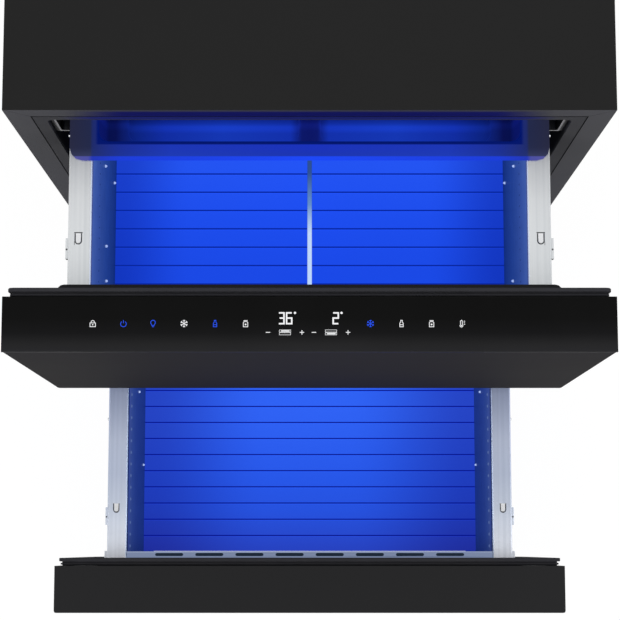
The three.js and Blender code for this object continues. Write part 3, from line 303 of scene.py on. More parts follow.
doorLook = {"color": tone(39, 39, 40), "down": [(0.0, 42, 41, 43), (0.3, 43, 42, 43), (1.0, 46, 45, 46)],
            "roughness": 0.72, "specular": 0.01, "bump": 0.1, "shadeSpan": 0.012, "dust": 0.0,
            "roughnessSpan": 0.02}
coated("upperDoorSteel", doorLook, doorPaint)
coated("lowerDoorSteel", dict(doorLook, specular=0.04))

plainLooks = {
    "blackPlastic": {"color": tone(33, 33, 35), "roughness": 0.65, "specular": 0.12, "grain": 1500.0,
                     "bump": 0.3},
    "rubber": {"color": tone(45, 45, 49), "roughness": 0.8, "specular": 0.1, "grain": 2200.0, "dust": 0.012},
    "foam": {"color": tone(226, 214, 166), "roughness": 0.95, "specular": 0.1, "grain": 500.0, "bump": 0.8,
             "grainDepth": 0.0006, "shadeSpan": 0.12},
    "enamel": {"color": tone(20, 20, 21), "roughness": 0.25, "specular": 0.5, "grain": 300.0, "bump": 0.1,
               "coat": 0.5, "dust": 0.12},
    "tabShadow": {"color": tone(58, 59, 61), "roughness": 0.8, "specular": 0.02, "dust": 0.0},
    "tabSteel": {"color": tone(236, 237, 239), "roughness": 0.45, "specular": 0.2, "dust": 0.0},
    "bumper": {"color": tone(96, 97, 99), "roughness": 0.8, "specular": 0.2, "dust": 0.0},
    "jointBlack": {"color": tone(12, 12, 13), "roughness": 0.8, "specular": 0.02, "dust": 0.0},
}
for name, look in plainLooks.items():
    coated(name, look)

metalLooks = {
    "zinc": {"color": tone(176, 178, 182), "dark": tone(146, 148, 154), "roughness": 0.36, "across": 900.0,
             "along": 60.0, "bump": 0.08},
    "boltSteel": {"color": tone(214, 216, 220), "dark": tone(190, 192, 197), "roughness": 0.28,
                  "across": 2400.0, "along": 2400.0, "bump": 0.1},
    "fins": {"color": tone(205, 208, 212), "dark": tone(180, 183, 188), "roughness": 0.35, "across": 400.0,
             "along": 400.0, "bump": 0.15},
    "copper": {"color": tone(206, 128, 92), "dark": tone(160, 92, 64), "roughness": 0.34, "across": 120.0,
               "along": 120.0, "bump": 0.1},
}
for name, look in metalLooks.items():
    brushed(name, dict(look, metallic=1.0))


def railPaint(tree, look, base):
    # painted highlight and shadow: the front of each bracket is painted as the bright edge of a folded
    # sheet, with a painted dark hollow beside it
    x = outward(tree, place(tree)[1])
    ahead = fade(tree, facing(tree)[1], -0.5, -0.9)
    inside = fade(tree, x, look["hollow"], look["hollow"] + 0.4 * mm)
    return mixColors(tree, ahead, base, mixColors(tree, inside, look["edge"], look["inside"]))


railLook = {"color": tone(78, 79, 82), "dark": tone(56, 57, 60), "edge": tone(122, 122, 126),
            "inside": tone(8, 8, 10), "hollow": -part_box("upper_rail_left")[0].x - 3.5 * mm,
            "roughness": 0.4, "metallic": 1.0, "across": 900.0, "along": 30.0, "bump": 0.08}
brushed("railZinc", railLook, railPaint)


def framePaint(tree, look):
    # grey moulding; the bar over the upper drawer is painted with the blue light of the lamp under it
    _, x, _, z = place(tree)
    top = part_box("front_frame")[1].z
    over = fade(tree, z, top - 16 * mm, top - 8 * mm)
    middle = fade(tree, outward(tree, x), 250 * mm, 205 * mm)
    return mixColors(tree, multiply(tree, over, middle), look["color"], look["litColor"])


frameLook = {"color": tone(60, 60, 63), "litColor": tone(36, 42, 112), "roughness": 0.7, "specular": 0.04,
             "grain": 1500.0, "bump": 0.2, "shadeSpan": 0.03}
coated("frameMoulding", frameLook, framePaint)


def linerPaint(tree, look):
    # dark moulding with the lamp's blue light painted on it towards the front, away from its side walls
    _, x, y, _ = place(tree)
    near = fade(tree, y, frontPlane + 0.25, frontPlane)
    inside = fade(tree, outward(tree, x), 256 * mm, 225 * mm)
    return mixColors(tree, multiply(tree, near, inside), look["color"], look["litColor"])


linerLook = {"color": tone(9, 9, 13), "litColor": tone(14, 18, 62), "roughness": 0.5, "specular": 0.1}
coated("linerMoulding", linerLook, linerPaint)


def panelPaint(tree, look):
    # painted shade: the touch panel is painted darker towards the gasket
    low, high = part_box("touch_panel")
    return ramp(tree, shareBetween(tree, place(tree)[2], low.y, high.y), look["back"])


panelLook = {"back": [(0.0, 36, 36, 38), (0.13, 33, 33, 34), (0.34, 19, 19, 20), (0.6, 13, 13, 13),
                      (1.0, 12, 12, 12)],
             "roughness": 0.32, "specular": 0.03, "grain": 1800.0, "bump": 0.04, "dust": 0.001}
coated("touchPanel", panelLook, panelPaint)


def depthUnderRim(tree, zone):
    # 0 at the drawer's rim, 1 on its floor
    return shareBetween(tree, place(tree)[3], zone["rim"], zone["floor"])


def behindFront(tree, zone):
    # metres behind the drawer's front edge
    return calculate(tree, "SUBTRACT", place(tree)[2], zone["front"])


def sidesOf(name, zone, look):
    # brushed cap and outer faces in plain steel, with painted shade along the cap and a painted highlight on
    # its inner edge; the inner face glows in the lamp's blue as painted light, darker towards the floor and
    # right at the front
    def paint(tree, values, base):
        _, x, _, z = place(tree)
        back = behindFront(tree, zone)
        inward = multiply(tree, x, -1 / zone["inner"], facing(tree)[0])
        values["mask"] = fade(tree, inward, 0.5, 0.9)
        wall = ramp(tree, depthUnderRim(tree, zone), values["wall"])
        wall = scaleColor(tree, wall, fade(tree, back, 0.0, values["frontShade"], values["frontLow"], 1.0))
        marks = effect(tree, "brushed", {"Across": 420.0, "Along": 420.0})["Streak"]
        values["target"] = scaleColor(tree, wall, fade(tree, marks, 0.2, 0.8, 0.94, 1.06))
        # painted shade along the cap, from its front to its back
        plain = mixColors(tree, 1.0, base, ramp(tree, back, values["cap"]), "MULTIPLY")
        # painted highlight along the cap's inner edge, just under the rim
        high = fade(tree, z, zone["rim"] - 2 * mm, zone["rim"] - 1 * mm)
        near = fade(tree, outward(tree, x), zone["inner"] + 1.9 * mm, zone["inner"] + 1.0 * mm)
        plain = mixColors(tree, multiply(tree, near, high), plain, values["edge"])
        return mixColors(tree, values["mask"], plain, scaleColor(tree, values["target"], 0.3))

    tree, shader = brushed(name, look, paint)
    tree.links.new(scaleColor(tree, look["target"], look["mask"]), shader.inputs["Emission Color"])
    keep = calculate(tree, "SUBTRACT", 1.0, look["mask"])
    tree.links.new(keep, shader.inputs["Metallic"])


steelLook = {"color": tone(255, 255, 255), "dark": tone(243, 244, 245), "roughness": 0.42, "metallic": 1.0,
             "bump": 0.16, "glow": 0.72, "specular": 0.05}
# the two drawers' sides differ in their painted light
sidesOf("upperSideSteel", zones["upper"], dict(
    steelLook, edge=tone(204, 216, 238), frontShade=0.01, frontLow=0.9,
    cap=[(0.0, 206, 209, 211), (0.1, 207, 209, 211), (0.13, 196, 198, 201), (0.2, 150, 152, 160)],
    wall=[(0.0, 66, 78, 126), (0.03, 72, 84, 134), (0.05, 70, 98, 160), (0.24, 57, 84, 147),
          (0.38, 49, 77, 140), (0.62, 36, 66, 131), (0.88, 26, 54, 117), (1.0, 18, 45, 111)]))
sidesOf("lowerSideSteel", zones["lower"], dict(
    steelLook, edge=tone(188, 204, 232), frontShade=0.035, frontLow=0.66, glow=0.86,
    cap=[(0.0, 244, 247, 255), (0.012, 232, 236, 246), (0.03, 205, 210, 221), (0.06, 183, 190, 204),
         (0.1, 174, 182, 201), (0.14, 182, 190, 210), (0.2, 168, 178, 206)],
    wall=[(0.0, 24, 34, 62), (0.055, 26, 36, 66), (0.075, 58, 74, 126), (0.28, 42, 63, 120),
          (0.45, 34, 54, 115), (0.65, 28, 49, 110), (1.0, 22, 44, 110)]))


def wallShade(tree, look):
    # front strip, back wall and duct cover: painted light, a pale strip at the rim and the lamp's blue below
    # it, with a painted highlight along the top back edge
    _, _, y, z = place(tree)
    zone = look["zone"]
    shade = ramp(tree, depthUnderRim(tree, zone), look["down"])
    corner = multiply(tree, fade(tree, y, zone["wallBack"] - 1.5 * mm, zone["wallBack"] - 0.8 * mm),
                      fade(tree, z, zone["rim"] - 1.2 * mm, zone["rim"] - 0.2 * mm))
    return mixColors(tree, corner, shade, look["corner"])


wallLook = {"roughness": 0.45, "specular": 0.1, "glow": 0.7, "dust": 0.0, "corner": tone(170, 184, 212)}
# the two drawers' ramps differ in their painted light
wallRamps = {
    "upper": [(0.0, 134, 150, 186), (0.03, 120, 136, 176), (0.06, 36, 60, 160), (1.0, 26, 66, 200)],
    "lower": [(0.0, 136, 150, 182), (0.012, 124, 135, 164), (0.03, 96, 108, 140), (0.06, 30, 46, 110),
              (1.0, 28, 56, 160)],
}
for name, zone in zones.items():
    lit(f"{name}WallPaint", dict(wallLook, zone=zone, down=wallRamps[name]), wallShade)


def floorShade(tree, look):
    # the lamp's painted light: brightest in the middle, with painted shade by the walls and towards the
    # front, a painted highlight on the front face of each groove and painted shade in the rest of it
    zone = look["zone"]
    _, x, _, z = place(tree)
    field = ramp(tree, behindFront(tree, zone), look["back"])
    side = fade(tree, outward(tree, x), look["across"], zone["inner"])
    field = mixColors(tree, side, field, look["edge"], "MULTIPLY")
    sunk = fade(tree, z, zone["floor"] - 0.1 * mm, zone["floor"] - 0.5 * mm)
    front = fade(tree, facing(tree)[1], 0.15, 0.4)
    field = mixColors(tree, front, field, scaleColor(tree, field, look["crest"]))
    deep = multiply(tree, sunk, calculate(tree, "SUBTRACT", 1.0, front))
    return mixColors(tree, deep, field, look["groove"])


# the two drawers' floors differ only in their painted light
floorLook = {"roughness": 0.5, "specular": 0.06, "dust": 0.0, "shadeSpan": 0.03, "crest": 1.2}
lit("upperFloorPlastic", dict(
    floorLook, zone=zones["upper"], across=0.13, glow=0.87, edge=(0.62, 0.57, 0.69, 1),
    groove=tone(8, 40, 158),
    back=[(0.0, 25, 75, 228), (0.06, 27, 76, 230), (0.12, 30, 80, 237), (0.18, 37, 87, 242)]), floorShade)
lit("lowerFloorPlastic", dict(
    floorLook, zone=zones["lower"], across=0.05, glow=0.94, edge=(0.72, 0.5, 0.64, 1),
    groove=tone(4, 20, 140),
    back=[(0.0, 38, 63, 182), (0.02, 39, 70, 197), (0.06, 37, 81, 218), (0.1, 37, 85, 226),
          (0.19, 44, 94, 233)]), floorShade)


def trayShade(tree, look):
    # smoked plastic over the lit drawer, painted with the lamp's light seen through it: dark over the sides,
    # blue bays between soft painted shadows of the divider and of the drawer's sides, a painted band of
    # reflected light across the bays with painted shade behind it, a bright painted lip and a painted dark
    # line along the basin's inner edge
    _, x, y, z = place(tree)
    low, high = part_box("sliding_tray")
    across = outward(tree, x)
    back = calculate(tree, "SUBTRACT", y, low.y)
    bays = ramp(tree, across, look["bays"])
    bays = mixColors(tree, 1.0, bays, ramp(tree, back, look["shine"]), "MULTIPLY")
    rim = ramp(tree, across, look["rim"])
    rim = mixColors(tree, fade(tree, back, 14 * mm, 1 * mm), rim, ramp(tree, across, look["rimFront"]))
    lip = ramp(tree, across, look["lip"])
    lower = fade(tree, z, high.z - 0.8 * mm, high.z - 2.2 * mm)
    rim = mixColors(tree, calculate(tree, "MAXIMUM", lower, fade(tree, back, 4.4 * mm, 3.4 * mm)), rim, lip)
    inside = multiply(tree, fade(tree, back, 15.6 * mm, 16.6 * mm), fade(tree, across, 0.217, 0.213))
    rim = mixColors(tree, inside, rim, look["line"])
    return mixColors(tree, fade(tree, z, high.z - 5 * mm, high.z - 7 * mm), rim, bays)


trayLook = {
    "roughness": 0.3, "specular": 0.03, "grain": 200.0, "bump": 0.02, "glow": 0.9, "dust": 0.0,
    "paintShare": 0.15, "line": tone(3, 22, 106),
    "bays": [(0.0, 12, 22, 103), (0.008, 13, 24, 106), (0.02, 20, 50, 174), (0.09, 22, 56, 182),
             (0.15, 18, 46, 164), (0.18, 13, 36, 130), (0.193, 12, 27, 104), (0.2, 8, 16, 79),
             (0.207, 7, 16, 77), (0.211, 10, 21, 98), (0.225, 12, 24, 100)],
    "shine": [(0.0, 0.95), (0.04, 1.0), (0.044, 1.24), (0.047, 1.24), (0.0505, 0.84), (0.0555, 0.5),
              (0.07, 0.5)],
    "rim": [(0.0, 25, 49, 184), (0.14, 27, 53, 178), (0.19, 27, 46, 146), (0.212, 30, 44, 118),
            (0.219, 30, 42, 104), (0.221, 35, 41, 72), (0.242, 39, 41, 64)],
    "rimFront": [(0.0, 27, 52, 170), (0.14, 29, 58, 176), (0.19, 28, 50, 146), (0.212, 32, 46, 118),
                 (0.219, 34, 48, 112), (0.221, 52, 58, 92), (0.242, 52, 56, 86)],
    "lip": [(0.0, 28, 71, 244), (0.19, 28, 60, 214), (0.219, 34, 54, 178), (0.223, 74, 78, 160),
            (0.242, 84, 84, 150)],
}
lit("smokedPlastic", trayLook, trayShade)


def dividerShade(tree, look):
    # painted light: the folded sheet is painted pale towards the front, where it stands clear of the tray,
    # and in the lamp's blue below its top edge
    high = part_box("upper_divider")[1]
    near = ramp(tree, behindFront(tree, zones["upper"]), look["reach"])
    return mixColors(tree, fade(tree, place(tree)[3], high.z - 3 * mm, high.z - 0.5 * mm), look["leg"], near)


dividerLook = {"roughness": 0.4, "metallic": 0.2, "bump": 0.1, "glow": 0.95, "specular": 0.1,
               "leg": tone(22, 58, 184),
               "reach": [(0.0, 184, 210, 243), (0.076, 182, 204, 234), (0.106, 92, 132, 186),
                         (0.14, 43, 76, 136)]}
lit("dividerSteel", dividerLook, dividerShade)


def lampShade(tree, look):
    # an opal lens with the lamps behind it showing as a row of brighter spots
    _, x, _, _ = place(tree)
    spots = calculate(tree, "SINE", multiply(tree, x, 2 * math.pi / look["spacing"]))
    return mixColors(tree, fade(tree, spots, -1.0, 1.0), look["between"], look["spot"])


lampLook = {"spacing": 20 * mm, "between": tone(60, 104, 240), "spot": tone(150, 186, 255),
            "roughness": 0.3, "specular": 0.3, "glow": 1.4, "grain": 400.0, "bump": 0.05}
lit("lampLens", lampLook, lampShade)

print("materials", len(materials))

# ---- finishes of the CAD nodes
finishes = {
    "blackSteel": ["side_panel_left", "side_panel_right", "top_panel", "back_panel"],
    "upperDoorSteel": ["upper_door_shell"],
    "lowerDoorSteel": ["lower_door_shell"],
    "blackPlastic": ["toe_grille", "upper_door_liner", "lower_door_liner", "upper_fan", "lower_fan",
                     "condenser_fan"],
    "frameMoulding": ["front_frame"],
    "linerMoulding": ["upper_liner", "lower_liner"],
    "touchPanel": ["touch_panel"],
    "rubber": ["upper_gasket", "lower_gasket", "cable_gland"],
    "foam": ["insulation", "upper_door_core", "lower_door_core"],
    "upperSideSteel": ["upper_side_left", "upper_side_right"],
    "lowerSideSteel": ["lower_side_left", "lower_side_right"],
    "upperWallPaint": ["upper_front_wall", "upper_back_wall", "upper_duct_cover"],
    "lowerWallPaint": ["lower_front_wall", "lower_back_wall", "lower_duct_cover"],
    "upperFloorPlastic": ["upper_floor"],
    "lowerFloorPlastic": ["lower_floor"],
    "dividerSteel": ["upper_divider"],
    "smokedPlastic": ["sliding_tray"],
    "fins": ["upper_evaporator", "lower_evaporator", "condenser"],
    "enamel": ["compressor"],
    "lampLens": ["upper_light_bar", "lower_light_bar"],
}
# how wide each finish's edges are rounded, in millimetres
edgeWidths = {"upperDoorSteel": 0.8, "lowerDoorSteel": 0.8, "touchPanel": 0.5, "smokedPlastic": 0.8,
              "blackPlastic": 0.5, "frameMoulding": 0.6, "rubber": 0.2, "enamel": 0.8,
              "upperWallPaint": 0, "lowerWallPaint": 0}


def dress(node, material, edgeWidth):
    node.data.materials.clear()
    node.data.materials.append(material)
    node.data.shade_smooth()
    node.data.set_sharp_from_angle(angle=math.radians(28 if edgeWidth else 8))
    flat = node.modifiers.new("joinFlatFaces", "DECIMATE")
    flat.decimate_type = "DISSOLVE"
    flat.angle_limit = math.radians(0.4)
    if not edgeWidth:
        return  # thin folded sheet, whose round corners are in the mesh
    bevel = node.modifiers.new("softEdges", "BEVEL")
    bevel.width = edgeWidth * mm
    bevel.segments = 2
    bevel.limit_method = "ANGLE"
    bevel.angle_limit = math.radians(35)
    bevel.harden_normals = True
    bevel.miter_outer = "MITER_ARC"


dressed = {node: finish for finish, members in finishes.items() for node in members}
for nodeName, node in nodes.items():
    finish = dressed.get(nodeName, "railZinc" if "rail" in nodeName else "zinc")
    dress(node, materials[finish], edgeWidths.get(finish, 0.3))
print("nodes dressed", len(nodes))


# ---- mesh helpers for the small pieces
def loft(shape, loops, closed=False):
    # rings of equal length joined by quads, with both ends capped where it isn't a closed run
    rings = [[shape.verts.new(point) for point in loop] for loop in loops]
    count = len(rings[0])
    for first, second in zip(rings, rings[1:] + (rings[:1] if closed else [])):
        for i in range(count):
            j = (i + 1) % count
            shape.faces.new((first[i], first[j], second[j], second[i]))
    if not closed:
        shape.faces.new(list(reversed(rings[0])))
        shape.faces.new(rings[-1])


def circle(radius, z, count=12, stretch=1.0):
    angles = [2 * math.pi * (i - 0.5) / count for i in range(count)]
    return [Vector((radius * math.cos(a), radius * stretch * math.sin(a), z)) for a in angles]


def crossLoop(reach, half, z):
    # twelve corners of a plus sign, for the recess of a screw
    corners = []
    for turn in range(4):
        cos, sin = ((1, 0), (0, 1), (-1, 0), (0, -1))[turn]
        for u, v in ((reach, -half), (reach, half), (half, half)):
            corners.append(Vector((u * cos - v * sin, u * sin + v * cos, z)))
    return corners


def setOn(loops, at, toward):
    # loops drawn round Z are laid on a surface at a point, with Z along its normal
    turn = Vector(toward).to_track_quat("Z", "Y").to_matrix()
    return [[turn @ point + Vector(at) for point in loop] for loop in loops]


def turned(shape, at, toward, rows, count=12, stretch=1.0):
    # a turned form on a surface, from rows of radius and height
    loft(shape, setOn([circle(radius, height, count, stretch) for radius, height in rows], at, toward))


def screw(shape, at, toward, size, rise=0.62):
    # pan head with a cross recess
    rise *= size
    head = ((0.7, -0.4 * mm), (1, 0), (1.02, rise * 0.3), (0.86, rise * 0.78), (0.62, rise))
    recess = [crossLoop(size * 0.56, size * 0.13, rise * 0.99),
              crossLoop(size * 0.5, size * 0.1, rise * 0.35)]
    loft(shape, setOn([circle(size * r, h) for r, h in head] + recess, at, toward))


def lowScrew(shape, at, toward, size):
    screw(shape, at, toward, size, 0.08)


def rivet(shape, at, toward, size, rise=1.0):
    dome = ((1, 0), (0.97, 0.18), (0.78, 0.42), (0.45, 0.56), (0.15, 0.6))
    turned(shape, at, toward, [(size * 0.8, -0.4 * mm)] + [(size * r, size * h * rise) for r, h in dome])


def stud(shape, at, toward, size):
    # clip stud with a round head, that stands further out than a rivet
    rivet(shape, at, toward, size, 2.6)


def dimple(shape, at, toward, size):
    # mark that is pressed into the sheet from its far side, a little taller than it is wide
    dome = ((1.0, -0.1), (1.0, 0.02), (0.8, 0.3), (0.5, 0.5), (0.2, 0.58))
    turned(shape, at, toward, [(size * r, size * h) for r, h in dome], 10, 1.3)


def hexNut(shape, at, toward, size):
    nut = ((0.9, 0), (1, 0.1), (1, 0.62), (0.9, 0.72), (0.55, 0.72), (0.5, 0.5))
    turned(shape, at, toward, [(size * r, size * h) for r, h in nut], 6)


def stroke(shape, points, width, base, height, closed=False):
    # a flat line with mitred corners that stands on the plane at base
    loops = []
    count = len(points)
    for i, point in enumerate(points):
        here = Vector(point)
        steps = []
        if closed or i:
            steps.append((here - Vector(points[i - 1])).normalized())
        if closed or i < count - 1:
            steps.append((Vector(points[(i + 1) % count]) - here).normalized())
        along = sum(steps, Vector((0, 0))).normalized()
        across = Vector((-along.y, along.x))
        reach = width / 2 / max(0.4, across.dot(Vector((-steps[0].y, steps[0].x))))
        left, right = here + across * reach, here - across * reach
        loops.append([(*left, base), (*right, base), (*right, base + height), (*left, base + height)])
    loft(shape, loops, closed)


def spot(shape, x, y, radius, base, height):
    loft(shape, [[(p.x + x, p.y + y, z) for p in circle(radius, 0, 16)] for z in (base, base + height)])


def arc(x, y, radius, start, end, steps=10):
    angles = [math.radians(start + (end - start) * i / steps) for i in range(steps + 1)]
    return [(x + radius * math.cos(a), y + radius * math.sin(a)) for a in angles]


def block(shape, low, high, c):
    # a block with chamfered long edges, along Y
    (x0, y0, z0), (x1, y1, z1) = low, high
    section = [(x0 + c, z0), (x1 - c, z0), (x1, z0 + c), (x1, z1 - c),
               (x1 - c, z1), (x0 + c, z1), (x0, z1 - c), (x0, z0 + c)]
    inset = [(x0 + c + (x - x0 - c) * 0.96, z0 + c + (z - z0 - c) * 0.96) for x, z in section]
    loft(shape, [[(x, y, z) for x, z in ring] for ring, y in
                 ((inset, y0), (section, y0 + c), (section, y1 - c), (inset, y1))])


def tube(shape, points, radius, count=10):
    # a bent pipe through the points, with each corner rounded off
    path = [Vector(points[0])]
    for before, corner, after in zip(points, points[1:], points[2:]):
        before, corner, after = Vector(before), Vector(corner), Vector(after)
        cut = min(4 * radius, (corner - before).length * 0.45, (after - corner).length * 0.45)
        start = corner + (before - corner).normalized() * cut
        end = corner + (after - corner).normalized() * cut
        path += [start.lerp(corner, t).lerp(corner.lerp(end, t), t) for t in (0, 0.25, 0.5, 0.75, 1)]
    path.append(Vector(points[-1]))
    side = (path[1] - path[0]).orthogonal().normalized()
    loops = []
    for i, point in enumerate(path):
        along = (path[min(i + 1, len(path) - 1)] - path[max(i - 1, 0)]).normalized()
        side = (side - along * side.dot(along)).normalized()
        other = along.cross(side)
        loops.append([point + (side * math.cos(a) + other * math.sin(a)) * radius
                      for a in [2 * math.pi * k / count for k in range(count)]])
    loft(shape, loops)


def makePiece(name, body, slot, material, draw, *facts, smooth=35):
    shape = bmesh.new()
    draw(shape, *facts)
    bmesh.ops.recalc_face_normals(shape, faces=shape.faces)
    mesh = bpy.data.meshes.new(name)
    shape.to_mesh(mesh)
    shape.free()
    mesh.shade_smooth()
    mesh.set_sharp_from_angle(angle=math.radians(smooth))
    mesh.materials.append(materials[material])
    piece = bpy.data.objects.new(name, mesh)
    scene.collection.objects.link(piece)
    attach(piece, body)
    return piece


surfaces = {}


def landOn(nodeName, start, toward):
    # where a straight line meets a node, and which way that face looks
    if nodeName not in surfaces:
        mesh = nodes[nodeName].data
        surfaces[nodeName] = BVHTree.FromPolygons([v.co for v in mesh.vertices],
                                                  [p.vertices for p in mesh.polygons])
    toward = Vector(toward).normalized()
    at, normal, _, _ = surfaces[nodeName].ray_cast(Vector(start), toward)
    if at is None:
        raise ValueError(f"nothing of {nodeName} lies there: {tuple(start)}")
    return at, (normal if normal.dot(toward) < 0 else -normal)


# ---- screws and rivets, laid on the faces that carry them: sizes in millimetres, starts in metres
bolt = {"body": "cabinet", "slot": "zinc_steel", "finish": "boltSteel", "kind": screw}
fastenings = [
    dict(bolt, name="back_panel_screws", node="back_panel", kind=lowScrew, size=3.6, toward=(0, -1, 0),
         starts=[(x, 0.7, z) for x in (-0.285, 0.285) for z in (0.09, 0.24, 0.4, 0.56, 0.72, 0.85)] +
                [(x, 0.7, 0.857) for x in (-0.14, 0, 0.14)]),
    dict(bolt, name="grille_screws", node="toe_grille", size=3.2, toward=(0, 1, 0),
         starts=[(x, -0.2, z) for x in (-0.288, 0.288) for z in (0.04, 0.075)]),
    dict(bolt, name="base_pan_screws", node="base_pan", size=3.2, toward=(0, 0, 1),
         starts=[(x, y, -0.1) for x in (-0.28, 0.28) for y in (0.12, 0.27, 0.42)]),
]
for hand, side in sides:
    fastenings.append(dict(
        bolt, name=f"side_panel_screws_{side}", node=f"side_panel_{side}", slot="black_steel",
        finish="blackSteel", kind=lowScrew, size=3.0, toward=(-hand, 0, 0),
        starts=[(hand * 0.5, y, 0.042) for y in (0.03, 0.25, 0.47)]))
# how far back from the drawer's front and how far down from its rim each wall rivet sits
rivetPlaces = {"upper": [(0.036, 0.132), (0.157, 0.11), (0.157, 0.199)],
               "lower": [(0.21, 0.13), (0.12, 0.2)]}
leftRivet = [(0.073, 0.127)]
for hand, side in sides:
    for zoneName, zone in zones.items():
        places = rivetPlaces[zoneName] + (leftRivet if (zoneName, side) == ("upper", "left") else [])
        fastenings.append(dict(
            bolt, name=f"{zoneName}_wall_rivets_{side}", node=f"{zoneName}_side_{side}", body=zone["body"],
            finish="brightRivet", kind=stud, size=1.5, toward=(hand, 0, 0),
            starts=[(0, zone["front"] + back, zone["rim"] - down) for back, down in places]))
        low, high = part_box(f"{zoneName}_rail_{side}")
        fastenings.append(dict(
            bolt, name=f"{zoneName}_rail_screws_{side}", node=f"{zoneName}_rail_{side}", size=2.6,
            toward=(hand, 0, 0), starts=[(0, low.y + back, high.z - 3.5 * mm) for back in (0.009, 0.022)]))
        low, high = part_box(f"{zoneName}_runner_{side}")
        fastenings.append(dict(
            bolt, name=f"{zoneName}_runner_screws_{side}", node=f"{zoneName}_runner_{side}",
            body=zone["body"], size=2.4, toward=(-hand, 0, 0),
            starts=[(hand * 0.4, low.y + back, (low.z + high.z) / 2) for back in (0.058, 0.074)]))


def speckled(name, look):
    # glowing surface whose two shades alternate in a fine grain
    low, high = look["speckle"]
    lit(name, look, lambda tree, values: mixColors(
        tree, fade(tree, effect(tree, "powder", {"Scale": values["fine"]})["Height"], low, high),
        values["deep"], values["color"]))


# painted glint: the wall rivets glow pale blue in place of their highlights
speckled("brightRivet", {"deep": tone(158, 190, 255), "color": tone(196, 214, 255), "fine": 700.0,
                         "speckle": (0.3, 0.7), "roughness": 0.35, "specular": 0.3, "glow": 0.75})


def drawFastening(shape, part):
    for start in part["starts"]:
        at, normal = landOn(part["node"], start, part["toward"])
        part["kind"](shape, at, normal, part["size"] * mm)


for part in fastenings:
    makePiece(part["name"], part["body"], part["slot"], part["finish"], drawFastening, part)
print("fastenings", len(fastenings))


# ---- small parts of the drawers
# painted light: the pressed marks glow in the lamp's blue, paler on faces that look up and darker on faces
# that look down; each drawer's copy has its own painted light
markLooks = {"upper": {"dark": tone(20, 38, 92), "pale": tone(40, 64, 124)},
             "lower": {"dark": tone(44, 60, 110), "pale": tone(84, 104, 158)}}
for name, look in markLooks.items():
    lit(f"{name}PressedMark", dict(look, roughness=0.6, specular=0.05, glow=0.9, dust=0.0),
        lambda tree, values: mixColors(tree, fade(tree, facing(tree)[2], -0.3, 0.5), values["dark"],
                                       values["pale"]))
# painted shadow behind the front wall's slots, with a faint painted glow in two dark shades
slotShadeLook = {"dark": tone(20, 30, 44), "pale": tone(40, 52, 68), "roughness": 0.8, "specular": 0.02,
            "dust": 0.0, "glow": 0.8}
lit("paintedSlotShadow", slotShadeLook, lambda tree, values: mixColors(
    tree, effect(tree, "powder", {"Scale": 500.0})["Height"], values["dark"], values["pale"]))

drawerSets = {
    "upper": {"groovePitch": 21.0 * mm, "firstGroove": 16.7 * mm, "markPitch": 11.4 * mm,
              "markSize": 1.1 * mm, "markDrop": 66 * mm, "markCount": 15},
    "lower": {"groovePitch": 21.3 * mm, "firstGroove": 19.9 * mm, "markPitch": 14.2 * mm,
              "markSize": 2.2 * mm, "markDrop": 38 * mm, "markCount": 22},
}
for name, values in drawerSets.items():
    zones[name].update(values)
grooveSet = {"half": 1.3 * mm, "depth": 1.0 * mm}
slotShadeSet = {"drop": 9 * mm, "depth": 2 * mm, "sheet": 1.6 * mm, "crown": 0.3 * mm, "steps": 60}
tabSet = {"inset": 13.2 * mm, "back": 59 * mm, "half": 3.6 * mm, "line": 1.1 * mm, "sunk": 1.0 * mm,
          "mouth": 5.6 * mm, "bend": 2 * mm, "creaseBack": 6.3 * mm, "creaseHalf": 4.2 * mm}
clipSet = {"back": 48.5 * mm, "inset": 1.7 * mm, "button": 1.0 * mm}
markStart = 14 * mm


def drawSlotShade(shape, zone):
    # painted shadow: a dark strip inside the folded front wall, standing in for the shade seen through its
    # slots
    low, half = zone["rim"] - slotShadeSet["drop"], zone["inner"] - 1 * mm
    high = low + slotShadeSet["depth"]
    start, end = zone["front"] + slotShadeSet["sheet"], zone["wallBack"] - slotShadeSet["sheet"]
    step = (end - start) / 4
    loops = []
    for i in range(slotShadeSet["steps"] + 1):
        x = -half + 2 * half * i / slotShadeSet["steps"]
        crown = high + slotShadeSet["crown"] * (i % 2)
        loops.append([(x, start, low), (x, end, low), (x, end, high), (x, end - step, crown),
                      (x, start + step, crown), (x, start, high)])
    loft(shape, loops)


def drawFloor(shape, zone):
    # moulded floor with shallow grooves across it, each with a steep back and a sloped front
    low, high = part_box(f"{zone['name']}_floor")
    half, deep = grooveSet["half"], high.z - grooveSet["depth"]
    middles = []
    middle = low.y + zone["firstGroove"]
    while middle < high.y - 2 * mm:
        middles.append(middle)
        middle += zone["groovePitch"]
    edge = [(low.y, low.z), (high.y, low.z), (high.y, high.z)]
    for middle in reversed(middles):
        edge += [(middle + half, high.z), (middle + half * 0.6, deep), (middle - half * 0.3, deep),
                 (middle - half, high.z)]
    edge.append((low.y, high.z))
    loft(shape, [[(x, y, z) for y, z in edge] for x in (low.x, high.x)])


def sideName(zone, hand, piece="side"):
    return f"{zone['name']}_{piece}_{'left' if hand < 0 else 'right'}"


def drawMarks(shape, zone, hand):
    for i in range(zone["markCount"]):
        start = (0, zone["front"] + markStart + zone["markPitch"] * i, zone["rim"] - zone["markDrop"])
        at, normal = landOn(sideName(zone, hand), start, (hand, 0, 0))
        dimple(shape, at, normal, zone["markSize"])


def tabPlace(zone, hand):
    return hand * (zone["inner"] + tabSet["inset"]), zone["front"] + tabSet["back"]


